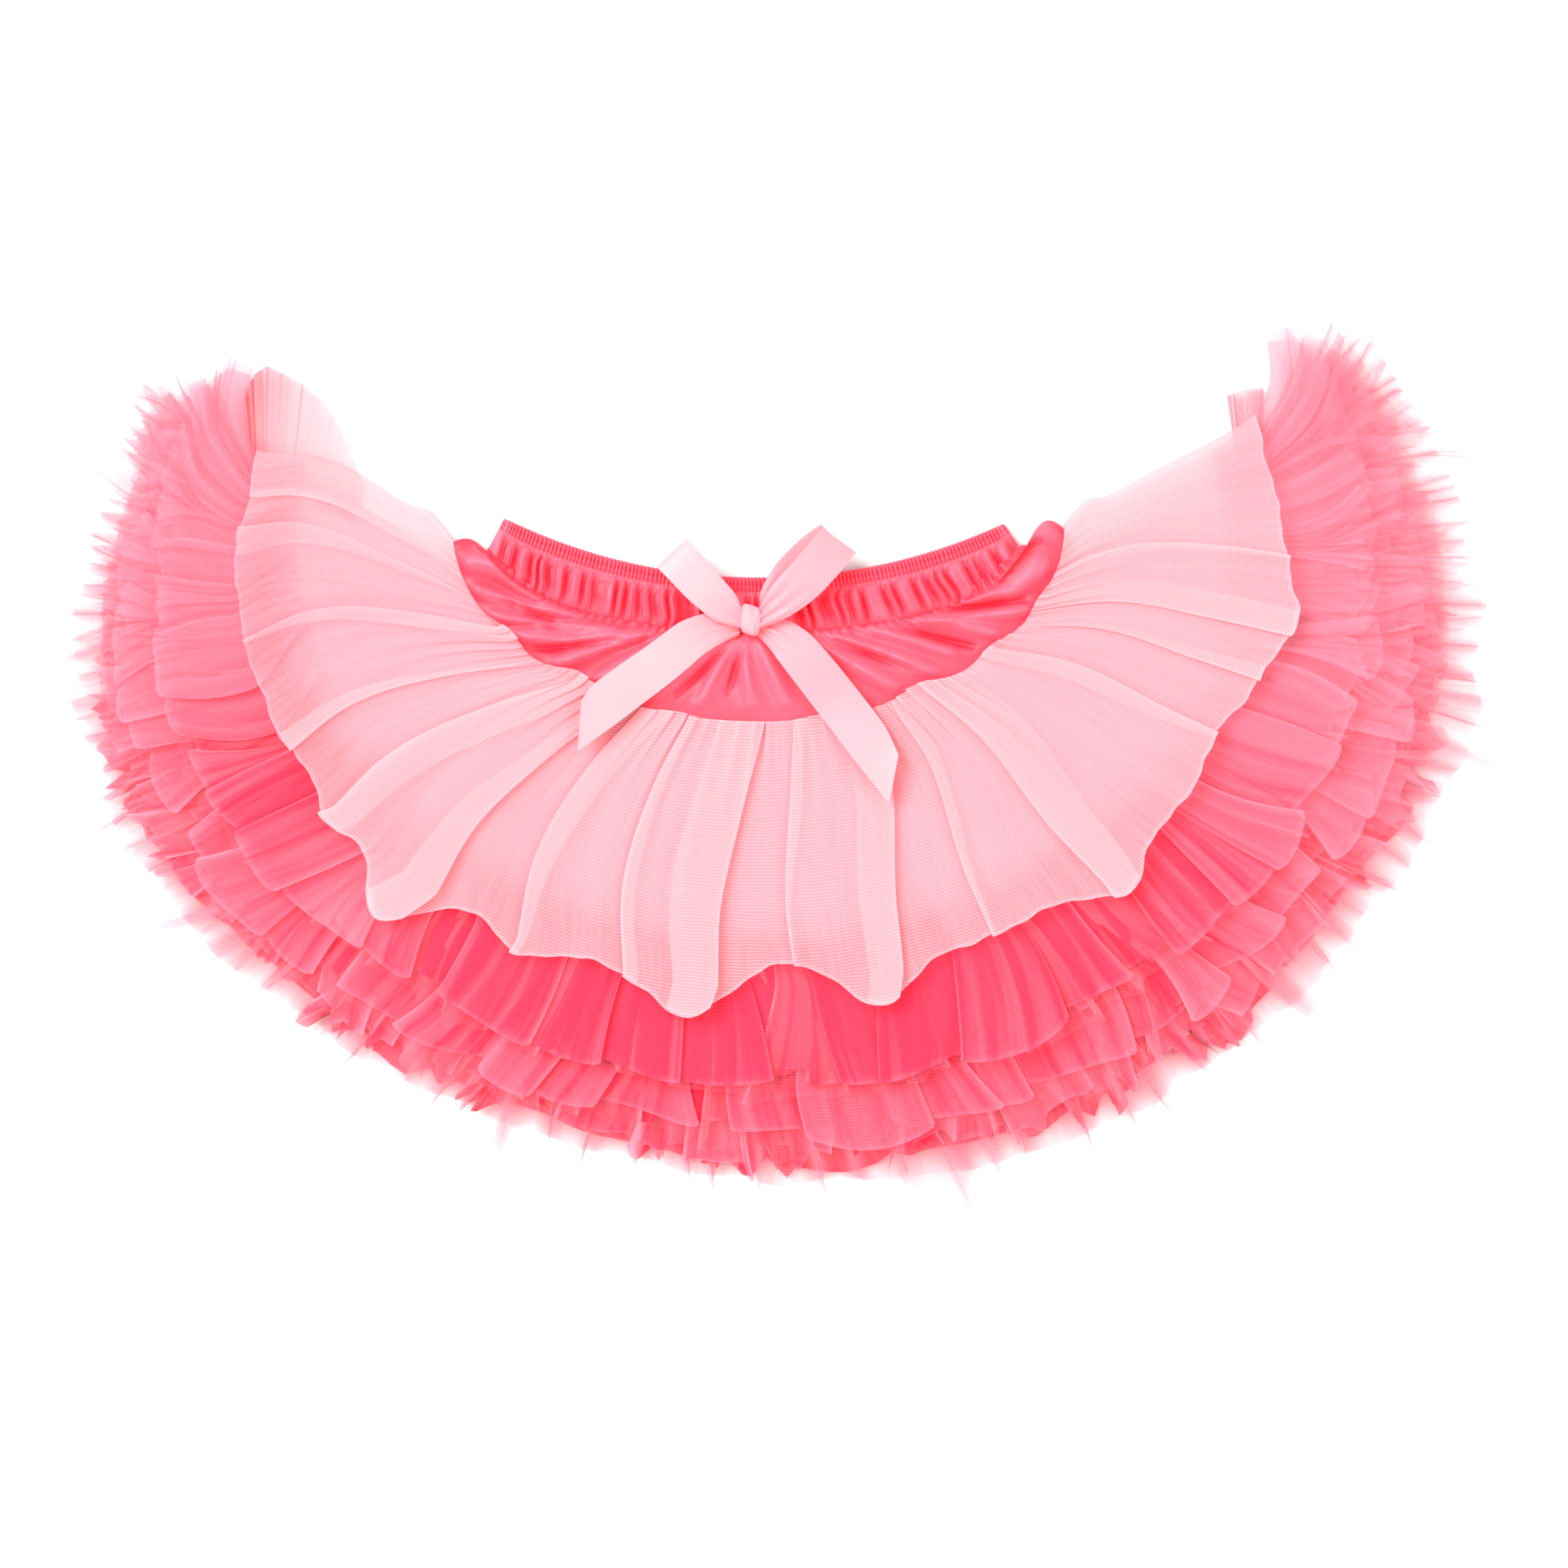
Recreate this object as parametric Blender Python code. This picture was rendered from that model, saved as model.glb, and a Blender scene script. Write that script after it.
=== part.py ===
"""A baby's net tutu, laid flat on a table with its front side up.

The skirt is a set of cloth tubes, one inside the other, pressed flat: an elastic waist casing,
a satin yoke, a pale net overskirt and, on a plain underskirt, three gathered net ruffles.
A ribbon bow is tied at the middle of the waist.

Every tube is worked out the same way.  A point of it has a depth, measured down the front from
the waist edge, and a place on the loop that runs left to right along the front and right to
left along the back.  LEVELS says where each depth lies on the table, and a stack of rooms says
how high each tube lies over the ones inside it.

+X runs to the right of the laid skirt, +Y from its hem to its waist and +Z up from the table.
The tables are in millimetres.  The origin is on the table, under the middle of the skirt.
"""
from collections import namedtuple

import bpy
import numpy as np

METRES = 0.001              # one millimetre, in Blender's metres

# ---------------------------------------------------------------- driving dimensions (mm)
WALL = 1.0                  # cloth
SEAM_GAP = 0.3              # between pieces that are sewn together
SEAM_LEAN = 0.12            # more for a wall that leans towards its seam
LAYER_GAP = 1.0             # between layers that only lie on each other
HOLLOW = 1.0                # air inside the flattened waist and underskirt
PLACE = (1.2, -1.8)         # from the tables' zero to the middle of the skirt

CASING_SEAM = 19.4          # depths, down the middle of the front
YOKE_TUCK = 46.0
YOKE_SEAM = 50.3
THIGH = 74.0
UPPER_ROOT = 118.0
OVERLAY_HEM = 144.0
UNDERSKIRT_HEM = 158.0
UPPER_HEM = 178.0
MIDDLE_HEM = 197.0
LOWER_HEM = 214.0
KNOTS = (YOKE_TUCK, YOKE_SEAM, THIGH, UPPER_ROOT, OVERLAY_HEM, UNDERSKIRT_HEM, UPPER_HEM,
         MIDDLE_HEM, LOWER_HEM)

BOW_CENTRE = (-10.2, 53.0)
KNOT_HALF = (3.6, 5.2, 3.3)

# ---------------------------------------------------------------- where each depth lies
# Each level is a part of an ellipse.  Its points are at the centre, plus half_width times the
# sine and less half_height times the cosine of an angle measured from straight down.  The
# angle grows evenly from left to right where even_x is 0, and its sine where even_x is 1.
Level = namedtuple("Level", "depth centre_x centre_y half_width half_height left right even_x")
LEVELS = (
    Level(0.0, -6.9, 272.3, 204.2, 204.2, -26.2, 25.0, 0.0),
    Level(CASING_SEAM, -7.4, 81.5, 97.0, 33.0, -82.0, 78.0, 0.85),
    Level(YOKE_SEAM, -7.4, 85.8, 107.8, 68.1, -86.0, 90.0, 0.2),
    Level(THIGH, -7.4, 85.5, 126.5, 91.3, -96.1, 97.7, 0.0),
    Level(UPPER_ROOT, -7.4, 84.0, 163.8, 134.1, -101.6, 103.4, 0.0),
    Level(OVERLAY_HEM, -7.4, 83.0, 187.0, 159.0, -98.0, 104.0, 0.0),
)
# Past the overskirt's hem the ruffles spread like a fan.  They run straight on for FAN_START,
# then in a direction that turns up at the two side folds.
FAN_START = 12.0
FAN_LEFT, FAN_RIGHT = -104.0, 107.0
# how far the longest ruffle reaches past the overskirt's hem
FAN_REACH = (               # share of the way from left fold to right fold, reach
    (0.00, 44.0), (0.06, 51.0), (0.12, 60.0), (0.20, 66.0), (0.30, 62.0), (0.40, 64.0),
    (0.50, 70.0),
    (0.62, 75.0), (0.75, 73.0), (0.88, 68.0), (0.95, 54.0), (1.00, 38.0),
)

# ---------------------------------------------------------------- how a flat tube closes
FOLD_TURNS = (45.0, 0.0, -45.0)     # the columns that round a side fold, in degrees
CORNER = 0.035              # share of the front in which the fan turns up to a side fold
CALM = 0.03                 # share of the front in which the waves die out towards a fold
UNEVEN = 0.0025             # how unevenly the waves are spaced, in shares of the front
UNEVEN_CYCLES = 5           # places along the front where they crowd together
WAVE_UNEVEN = 0.2           # how much one wave's height differs from the next
WAVE_RATE = 0.37            # radians of that difference for each column
TANGENT_STEP = 0.002        # share either side of a point from which its tangent is measured
SEAM_ROOM_AT_FOLD = 2.3     # how much wider the gap of a seam gets where it goes round a fold

# ---------------------------------------------------------------- the nested skirt, inside out
# waves and back_waves are counted along the front and the back.  swing is how high a wave of
# the front stands, at root and hem, and back_swing the same for the back, which only arches
# inward.  inset is how far a tube's side folds lie inside the overskirt's, turned the angle
# that a fold ends at in the fan, and corner_gain how much longer the ruffle is there.
Ring = namedtuple(
    "Ring", "name depths waves back_waves swing back_swing inset turned corner_gain")
UNDERSKIRT = Ring("underskirt", KNOTS[0:6], 0, 0, (0.0, 0.0), (0.0, 0.0), 10.0, 165.0, 0.0)
LOWER = Ring("ruffle_lower", KNOTS[5:9], 34, 16, (1.0, 7.0), (0.3, 1.6), 8.0, 175.0, 0.15)
MIDDLE = Ring("ruffle_middle", KNOTS[4:8], 30, 13, (1.0, 6.4), (0.3, 1.4), 5.0, 193.0, 0.45)
UPPER = Ring("ruffle_upper", KNOTS[3:7], 26, 10, (1.0, 6.0), (0.3, 0.9), 2.5, 213.0, 1.6)
OUTER = Ring("overlay", KNOTS[1:5], 14, 7, (0.0, 0.0), (0.2, 1.8), 0.0, 180.0, 0.0)
STACK = (UNDERSKIRT, LOWER, MIDDLE, UPPER, OUTER)
COLUMNS_PER_WAVE = 4
UNDERSKIRT_COLUMNS = (24, 24)       # these pairs are along the front and along the back
RUFFLE_POINT = 0.07         # share of a ruffle's reach by which its wave tops stand out

# the overskirt's large folds, from its root to its hem
OVERLAY_COLUMNS = (72, 28)
OVERLAY_FOLDS = (           # share along the front, half width in shares, height, reach of hem
    (0.040, 0.022, 3.0, 1.0),
    (0.111, 0.024, 4.0, 8.0),
    (0.170, 0.024, 3.0, 15.0),
    (0.228, 0.020, 3.0, 9.0),
    (0.285, 0.028, 5.0, 23.0),
    (0.358, 0.020, 3.5, 9.0),
    (0.443, 0.026, 5.0, 13.0),
    (0.500, 0.016, 2.0, -4.0),
    (0.543, 0.022, 4.0, 11.0),
    (0.615, 0.022, 2.5, 1.0),
    (0.688, 0.030, 6.0, 11.0),
    (0.790, 0.024, 3.0, -4.0),
    (0.880, 0.024, 4.0, 7.0),
    (0.955, 0.022, 3.0, 0.0),
)
OVERLAY_FOLD_GROWTH = (0.15, 0.7, 1.0, 1.0)     # height of a fold at each of its rows
OVERLAY_LIFT = (0.0, 0.6, 1.2, 1.2)             # air under the net at each row
OVERLAY_HEM_DRAWN = -3.0    # reach of the hem between its folds
OVERLAY_LOBE_ABOVE = 0.3    # share of the hem's reach that the row above it has

# casing and yoke: depth, height of the front over the table, swing of its waves, of the back's
Row = namedtuple("Row", "depth front swing back_swing")
CASING_ROWS = (
    Row(0.0, 2.5, 0.9, 0.3),
    Row(5.2, 2.7, 0.1, 0.0),
    Row(12.0, 3.2, 1.6, 0.5),
    Row(CASING_SEAM, 2.6, 0.2, 0.0),
)
CASING_WAVES = (28, 12)
CASING_COLUMNS = (112, 48)
YOKE_ROWS = (
    Row(CASING_SEAM, 2.6, 0.2, 0.0),
    Row(33.0, 3.8, 1.8, 0.6),
    Row(YOKE_TUCK, 5.1, 0.8, 0.0),
    Row(YOKE_SEAM, 5.1, 0.2, 0.0),
)
YOKE_WAVES = (7, 2)
YOKE_COLUMNS = (56, 24)

# ---------------------------------------------------------------- the bow's ribbons
# A ribbon is a row of stations: its middle, half its width there and its height.  A tail's
# height is how far it lies over the cloth under it, a loop's is over the table.
Station = namedtuple("Station", "x y half height")
LEFT_TAIL = (
    Station(-15.4, 51.0, 3.4, 0.0), Station(-22.6, 50.2, 5.4, 0.0),
    Station(-30.3, 46.9, 7.0, 0.0), Station(-36.0, 42.6, 7.4, 0.0),
    Station(-41.8, 38.0, 7.6, 0.0), Station(-47.5, 33.8, 7.8, 0.0),
    Station(-53.2, 29.7, 7.9, 0.0), Station(-61.2, 23.5, 7.9, 0.0),
)
LEFT_TAIL_TIPS = ((-70.8, 6.9), (-69.6, 24.5))
RIGHT_TAIL = (
    Station(-5.4, 50.2, 3.0, 0.0), Station(-0.6, 48.2, 5.2, 0.0),
    Station(5.1, 43.6, 7.2, 0.0), Station(9.7, 38.3, 7.6, 0.0),
    Station(14.3, 32.6, 7.8, 0.0), Station(19.0, 26.6, 7.9, 0.0),
    Station(23.7, 20.6, 7.9, 0.0), Station(30.9, 10.9, 7.9, 0.0),
)
RIGHT_TAIL_TIPS = ((41.9, 5.7), (38.7, -11.6))
LEFT_LOOP = (
    Station(-14.2, 54.4, 3.2, 10.4), Station(-19.0, 57.6, 5.2, 11.6),
    Station(-26.0, 64.2, 6.8, 12.4), Station(-33.0, 71.8, 7.2, 12.2),
    Station(-36.6, 75.5, 7.2, 11.2), Station(-37.9, 76.9, 7.2, 9.6),
    Station(-36.6, 75.5, 7.2, 8.2), Station(-32.5, 71.2, 7.2, 8.0),
    Station(-25.5, 63.6, 6.8, 8.2), Station(-19.0, 57.6, 5.2, 8.2),
    Station(-14.2, 54.4, 3.2, 8.0),
)
RIGHT_LOOP = (
    Station(-6.2, 54.4, 3.2, 10.4), Station(-0.5, 58.6, 5.4, 12.6),
    Station(7.8, 66.0, 7.2, 14.6), Station(15.6, 74.4, 7.4, 14.0),
    Station(19.8, 79.6, 7.4, 12.0), Station(21.1, 81.3, 7.4, 10.0),
    Station(19.0, 79.8, 7.4, 8.6), Station(13.4, 74.6, 7.4, 8.0),
    Station(5.4, 66.6, 7.0, 8.0), Station(-1.4, 59.0, 5.2, 8.0),
    Station(-6.2, 54.4, 3.2, 8.0),
)
KNOT_TURNS, KNOT_RINGS, KNOT_BOXINESS = 16, 8, 0.55
TAIL_CROWN, LOOP_CROWN = 0.15, 0.3      # how much higher a ribbon's middle is than its edges
DRAPE_REACH = 4.6           # cloth this near to a ribbon's point holds it up
DENSE = 4                   # parts that a face is cut into to feel the cloth's height

# ---------------------------------------------------------------- finishes
Finish = namedtuple("Finish", "slot colour roughness")
SATIN = Finish("satin", (1.0, 0.115, 0.230), 0.35)
RUFFLE_NET = Finish("ruffle_net", (1.0, 0.190, 0.300), 0.80)
OVERLAY_NET = Finish("overlay_net", (1.0, 0.680, 0.740), 0.85)
RIBBON = Finish("ribbon", (1.0, 0.540, 0.610), 0.45)


def clear_scene():
    for thing in list(bpy.data.objects):
        bpy.data.objects.remove(thing, do_unlink=True)


def make_material(finish):
    material = bpy.data.materials.new(finish.slot)
    material.use_nodes = True
    shader = material.node_tree.nodes["Principled BSDF"]
    shader.inputs["Base Color"].default_value = (*finish.colour, 1.0)
    shader.inputs["Roughness"].default_value = finish.roughness
    shader.inputs["Metallic"].default_value = 0.0
    return material


# ---------------------------------------------------------------- meshes
def cloth_mesh(name, grid, closed, material):
    """Make a grid of points (rows, columns, 3) into cloth with a wall, closed round or open."""
    rows, columns = grid.shape[:2]
    row, column = np.meshgrid(np.arange(rows - 1), np.arange(columns - (not closed)),
                              indexing="ij")
    right = (column + 1) % columns
    faces = np.stack([row * columns + column, (row + 1) * columns + column,
                      (row + 1) * columns + right, row * columns + right], axis=-1)
    points = (grid + np.array([*PLACE, 0.0])) * METRES
    mesh = bpy.data.meshes.new(name)
    mesh.from_pydata(points.reshape(-1, 3).tolist(), [], faces.reshape(-1, 4).tolist())
    mesh.materials.append(material)
    mesh.shade_smooth()
    piece = bpy.data.objects.new(name, mesh)
    bpy.context.scene.collection.objects.link(piece)
    wall = piece.modifiers.new("wall", "SOLIDIFY")
    wall.thickness = WALL * METRES
    wall.offset = 0.0
    wall.use_even_offset = False
    wall.use_rim = True
    return piece


def grid_normals(grid, closed):
    """Unit normals of a grid, pointing out of a tube and up from the front."""
    if closed:
        along = np.roll(grid, -1, axis=1) - np.roll(grid, 1, axis=1)
    else:
        along = np.gradient(grid, axis=1)
    down = np.gradient(grid, axis=0)
    normals = np.cross(down, along)
    return normals / np.linalg.norm(normals, axis=-1, keepdims=True)


# ---------------------------------------------------------------- the flat plan
def direction(degrees):
    """A direction on the table, by its angle from straight down, turning to the right."""
    angle = np.radians(degrees)
    return np.stack([np.sin(angle), -np.cos(angle)], axis=-1)


def level_points(depth, share):
    """Where cloth at a depth lies: step by step from each level's ellipse to the next."""
    total = None
    for number, level in enumerate(LEVELS):
        left, right = np.radians(level.left), np.radians(level.right)
        by_sine = np.arcsin(np.sin(left) + (np.sin(right) - np.sin(left)) * share)
        by_angle = left + (right - left) * share
        angle = by_angle + level.even_x * (by_sine - by_angle) if level.even_x else by_angle
        points = np.stack([level.centre_x + level.half_width * np.sin(angle),
                           level.centre_y - level.half_height * np.cos(angle)], axis=-1)
        if total is None:
            total = points
        else:
            above = LEVELS[number - 1].depth
            part = np.clip((depth - above) / (level.depth - above), 0.0, 1.0)
            total = total + part[..., None] * (points - before)
        before = points
    return total


def fan_points(depth, share, bend, turned, corner_gain, gain=0.0):
    """How far cloth past the overskirt's hem lies from it, and the angle it points at."""
    beyond = np.maximum(depth - OVERLAY_HEM, 0.0)
    straight = np.minimum(beyond, FAN_START)
    spread = (beyond - straight) / (LOWER_HEM - OVERLAY_HEM - FAN_START)
    angle = FAN_LEFT + (FAN_RIGHT - FAN_LEFT) * share
    turned_angle = angle + bend * np.where(share < 0.5, -turned - FAN_LEFT, turned - FAN_RIGHT)
    reach = np.interp(share, *zip(*FAN_REACH)) - FAN_START
    reach = reach * (1.0 + corner_gain * bend) * (1.0 + gain)
    offset = straight[..., None] * direction(angle)
    offset = offset + (spread * reach)[..., None] * direction(turned_angle)
    return offset, turned_angle


def spaced(columns):
    """Shares from 0 to 1, a little unevenly spaced as gathers are."""
    even = np.linspace(0.0, 1.0, columns + 1)
    return even + UNEVEN * np.sin(2 * np.pi * UNEVEN_CYCLES * even)


Loop = namedtuple("Loop", "share facing bulge bend calm")


def make_loop(front_columns, back_columns):
    """The columns round a flat tube: the front from left to right, a fold, the back, a fold.

    share is the place between the left and right fold, facing 1 on the front and -1 on the
    back, bulge how far a fold's round end stands out, in half thicknesses of the tube, bend
    how near a fold is and calm how much of a wave is left there.
    """
    turns = np.radians(FOLD_TURNS)
    front, back = spaced(front_columns), spaced(back_columns)[::-1]
    round_end = np.ones(len(turns))
    share = np.concatenate([front, round_end, back, 0.0 * round_end])
    facing = np.concatenate([np.ones_like(front), np.sin(turns),
                             -np.ones_like(back), -np.sin(turns)])
    bulge = np.concatenate([0.0 * front, np.cos(turns), 0.0 * back, np.cos(turns)])
    edge = np.minimum(share, 1.0 - share)
    bend = (1.0 - 2.0 * edge) ** 2 / (1.0 + (edge / CORNER) ** 2)
    calm = np.clip(edge / CALM, 0.0, 1.0)
    return Loop(share, facing, bulge, bend, calm)


def plan(ring, depth, loop, thickness, gain=0.0):
    """The place on the table of a tube's points, its side folds set in from the outermost's.

    thickness is the height between the middles of the tube's back and front walls."""
    share = np.broadcast_to(loop.share, depth.shape)
    points = level_points(depth, share)
    inner = np.clip(share, TANGENT_STEP, 1.0 - TANGENT_STEP)
    tangent = (level_points(depth, inner + TANGENT_STEP)
               - level_points(depth, inner - TANGENT_STEP))
    tangent /= np.linalg.norm(tangent, axis=-1, keepdims=True)
    offset, turned_angle = fan_points(depth, share, loop.bend, ring.turned, ring.corner_gain,
                                      gain)
    fan_tangent = direction(turned_angle + 90.0)
    in_fan = np.clip((depth - OVERLAY_HEM) / (UNDERSKIRT_HEM - OVERLAY_HEM), 0.0, 1.0)[..., None]
    outward = tangent * (1.0 - in_fan) + fan_tangent * in_fan
    outward *= np.where(share < 0.5, -1.0, 1.0)[..., None]
    out = (loop.bulge - loop.bend) * thickness / 2 - ring.inset * loop.bend
    return points + offset + out[..., None] * outward


# ---------------------------------------------------------------- the stack of layers
def presence(ring, depth):
    """1 where a ring is, falling to 0 at the next knot above its root and below its hem."""
    first, last = ring.depths[0], ring.depths[-1]
    if ring is OUTER:
        first = YOKE_TUCK
    heights = [1.0 if first <= knot <= last else 0.0 for knot in KNOTS]
    return np.interp(depth, KNOTS, heights)


def swing_at(ring, depth, swing):
    return np.interp(depth, (ring.depths[0], ring.depths[-1]), swing)


def stack_heights(ring, depth):
    """Heights of a ring's back and front walls over the table."""
    place = STACK.index(ring)
    back = WALL / 2
    for outer in STACK[place + 1:]:
        back = back + presence(outer, depth) * (
            WALL + SEAM_GAP + swing_at(outer, depth, outer.back_swing))
    front = WALL / 2 + WALL + HOLLOW
    for outer in STACK[1:]:
        front = front + presence(outer, depth) * (
            WALL + SEAM_GAP + swing_at(outer, depth, outer.back_swing))
    for inner in STACK[:place]:
        rooted = presence(inner, depth)
        air = SEAM_GAP if inner is UNDERSKIRT else LAYER_GAP
        front = front + rooted * (WALL + air + swing_at(inner, depth, inner.swing))
    return back, front


def tube_grid(ring, depth, loop, back, front, gain=0.0):
    """A flat tube without its waves: its plan, lifted to the heights of back and front."""
    points = plan(ring, depth, loop, front - back, gain)
    height = back + (front - back) * (1.0 + loop.facing) / 2.0
    height = np.broadcast_to(height, depth.shape)
    return np.concatenate([points, height[..., None]], axis=-1)


def swing_out(grid, front_wave, back_wave, loop):
    """Move a tube's points along its normals: front waves stand out, back waves arch in."""
    move = np.where(loop.facing == 1.0, front_wave, 0.0)
    move = np.where(loop.facing == -1.0, -back_wave, move) * loop.calm
    return grid + grid_normals(grid, True) * move[..., None]


def pull_back(grid, row, loop):
    """Move a tube's edge back along its columns, to leave its half of a seam's gap."""
    inside = 1 if row == 0 else -2
    way = grid[inside] - grid[row]
    way /= np.linalg.norm(way, axis=-1, keepdims=True)
    gap = (SEAM_GAP / 2 + SEAM_LEAN) * (1.0 + SEAM_ROOM_AT_FOLD * loop.bend)
    grid[row] += way * gap[:, None]


def wave_shape(loop, waves, back_waves):
    """Waves along the loop, from 0 to 1, starting and ending at 0 on the front and the back.

    The back lies on the table, so its waves have a flat stretch between one and the next."""
    shape = np.zeros_like(loop.share)
    for facing, count in ((1.0, waves), (-1.0, back_waves)):
        side = loop.facing == facing
        column = np.arange(np.sum(side))
        uneven = 1.0 - WAVE_UNEVEN * (1.0 - np.sin(column * WAVE_RATE))
        wave = -np.cos(2 * np.pi * count * column / column[-1])
        shape[side] = uneven * ((wave + 1.0) / 2.0 if facing > 0.0 else wave.clip(0.0))
    return shape


# ---------------------------------------------------------------- the pieces
def ruffle(ring, material):
    """A gathered net ruffle: flat at its root and waving more and more to its hem."""
    loop = make_loop(ring.waves * COLUMNS_PER_WAVE, ring.back_waves * COLUMNS_PER_WAVE)
    wave = wave_shape(loop, ring.waves, ring.back_waves)
    depth, _ = np.meshgrid(np.array(ring.depths), loop.share, indexing="ij")
    down = (depth - ring.depths[0]) / (ring.depths[-1] - ring.depths[0])
    gain = RUFFLE_POINT * (2.0 * wave - 1.0) * down * loop.calm * (loop.facing > 0.0)
    back, front = stack_heights(ring, depth)
    grid = tube_grid(ring, depth, loop, back, front, gain)
    grid = swing_out(grid, wave * swing_at(ring, depth, ring.swing),
                     wave * swing_at(ring, depth, ring.back_swing), loop)
    return cloth_mesh(ring.name, grid, True, material), grid


def underskirt(material):
    """The plain skirt that carries the ruffles, tucked into the yoke at its top."""
    loop = make_loop(*UNDERSKIRT_COLUMNS)
    depth, _ = np.meshgrid(np.array(UNDERSKIRT.depths), loop.share, indexing="ij")
    back, front = stack_heights(UNDERSKIRT, depth)
    grid = tube_grid(UNDERSKIRT, depth, loop, back, front)
    return cloth_mesh("underskirt", grid, True, material), grid


def overlay(material):
    """The pale net overskirt, with its large folds and the lobes that they give its hem."""
    loop = make_loop(*OVERLAY_COLUMNS)
    height = np.zeros_like(loop.share)
    reach = np.full_like(loop.share, OVERLAY_HEM_DRAWN)
    for place, half_width, fold_height, fold_reach in OVERLAY_FOLDS:
        bump = np.exp(-((loop.share - place) / half_width) ** 2)
        height += fold_height * bump
        reach += fold_reach * bump
    reach *= np.where(loop.facing > 0.0, loop.calm, 0.0)
    depth, _ = np.meshgrid(np.array(OUTER.depths), loop.share, indexing="ij")
    growth = np.array(OVERLAY_FOLD_GROWTH)[:, None]
    lobes = np.zeros_like(depth)
    lobes[-1] = reach
    lobes[-2] = reach * OVERLAY_LOBE_ABOVE
    back, _ = stack_heights(OUTER, depth)
    _, front = stack_heights(OUTER, depth + lobes)
    front = front + np.array(OVERLAY_LIFT)[:, None]
    grid = tube_grid(OUTER, depth + lobes, loop, back, front)
    back_wave = wave_shape(loop, OUTER.waves, OUTER.back_waves)
    grid = swing_out(grid, growth * height,
                     back_wave * swing_at(OUTER, depth, OUTER.back_swing), loop)
    pull_back(grid, 0, loop)
    return cloth_mesh("overlay", grid, True, material), grid


def banded_tube(name, rows, waves, columns, material):
    """The casing or the yoke: a flat tube whose rows say how high and how wavy it is."""
    loop = make_loop(*columns)
    wave = wave_shape(loop, *waves)
    depths, fronts, swings, back_swings = (np.array(values)[:, None] for values in zip(*rows))
    depth = np.broadcast_to(depths, (len(rows), len(loop.share)))
    grid = tube_grid(OUTER, depth, loop, WALL / 2, np.broadcast_to(fronts, depth.shape))
    grid = swing_out(grid, wave * swings, wave * back_swings, loop)
    if rows[0].depth > 0.0:
        pull_back(grid, 0, loop)
    pull_back(grid, -1, loop)
    return cloth_mesh(name, grid, True, material), grid


def felt_height(x, y, clothes):
    """How high the cloth's middle surface lies near each point of a ribbon."""
    height = np.zeros_like(x)
    for grid in clothes:
        fine = np.linspace(0.0, 1.0, DENSE, endpoint=False)
        for down in fine:
            for along in fine:
                rolled = np.roll(grid, -1, axis=1)
                upper = grid[:-1] * (1 - along) + rolled[:-1] * along
                lower = grid[1:] * (1 - along) + rolled[1:] * along
                point = (upper * (1 - down) + lower * down).reshape(-1, 3)
                far = np.hypot(x[..., None] - point[:, 0], y[..., None] - point[:, 1])
                near = np.where(far < DRAPE_REACH, point[:, 2], 0.0)
                height = np.maximum(height, near.max(axis=-1))
    return height


def ribbon_grid(stations, tips=None):
    """Points across a ribbon: its two edges and its middle, square to the way it runs.

    A tail ends at its two tips.  A loop turns back once and leaves and meets the knot sideways.
    """
    middle = np.array([(station.x, station.y) for station in stations])
    half = np.array([station.half for station in stations])
    way = np.gradient(middle, axis=0)
    turn = [number for number in range(1, len(stations) - 1)
            if np.dot(middle[number] - middle[number - 1],
                      middle[number + 1] - middle[number]) < 0.0]
    for number in turn:
        way[number] = middle[number] - middle[number - 1]
    if turn:
        way[turn[0] + 1:] *= -1.0
        way[0] = way[-1] = (np.sign(middle[1, 0] - middle[0, 0]), 0.0)
    way /= np.linalg.norm(way, axis=-1, keepdims=True)
    across = np.stack([-way[:, 1], way[:, 0]], axis=-1) * half[:, None]
    grid = np.stack([middle - across, middle, middle + across], axis=1)
    if tips is not None:
        ends = np.array([tips[1], np.mean(tips, axis=0), tips[0]])
        if np.dot(ends[0] - ends[2], across[-1]) > 0.0:
            ends = ends[::-1]
        grid = np.concatenate([grid, ends[None]], axis=0)
    return grid


def bow_tail(name, stations, tips, clothes, material):
    """A tail of the bow, laid over whatever cloth is under it and stiff enough to bridge."""
    grid = ribbon_grid(stations, tips)
    height = felt_height(grid[..., 0], grid[..., 1], clothes) + WALL + SEAM_GAP
    height = np.broadcast_to(height.max(axis=1, keepdims=True), height.shape)
    height = height + np.array([0.0, TAIL_CROWN, 0.0])
    grid = np.concatenate([grid, height[..., None]], axis=-1)
    return cloth_mesh(name, grid, False, material), grid


def bow_loop(name, stations, material):
    """A loop of the bow: out from the knot on top, round its end and back underneath."""
    grid = ribbon_grid(stations)
    height = np.array([station.height for station in stations])
    height = height[:, None] + np.array([0.0, LOOP_CROWN, 0.0])
    grid = np.concatenate([grid, np.broadcast_to(height, grid.shape[:2])[..., None]], axis=-1)
    return cloth_mesh(name, grid, False, material), grid


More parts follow.
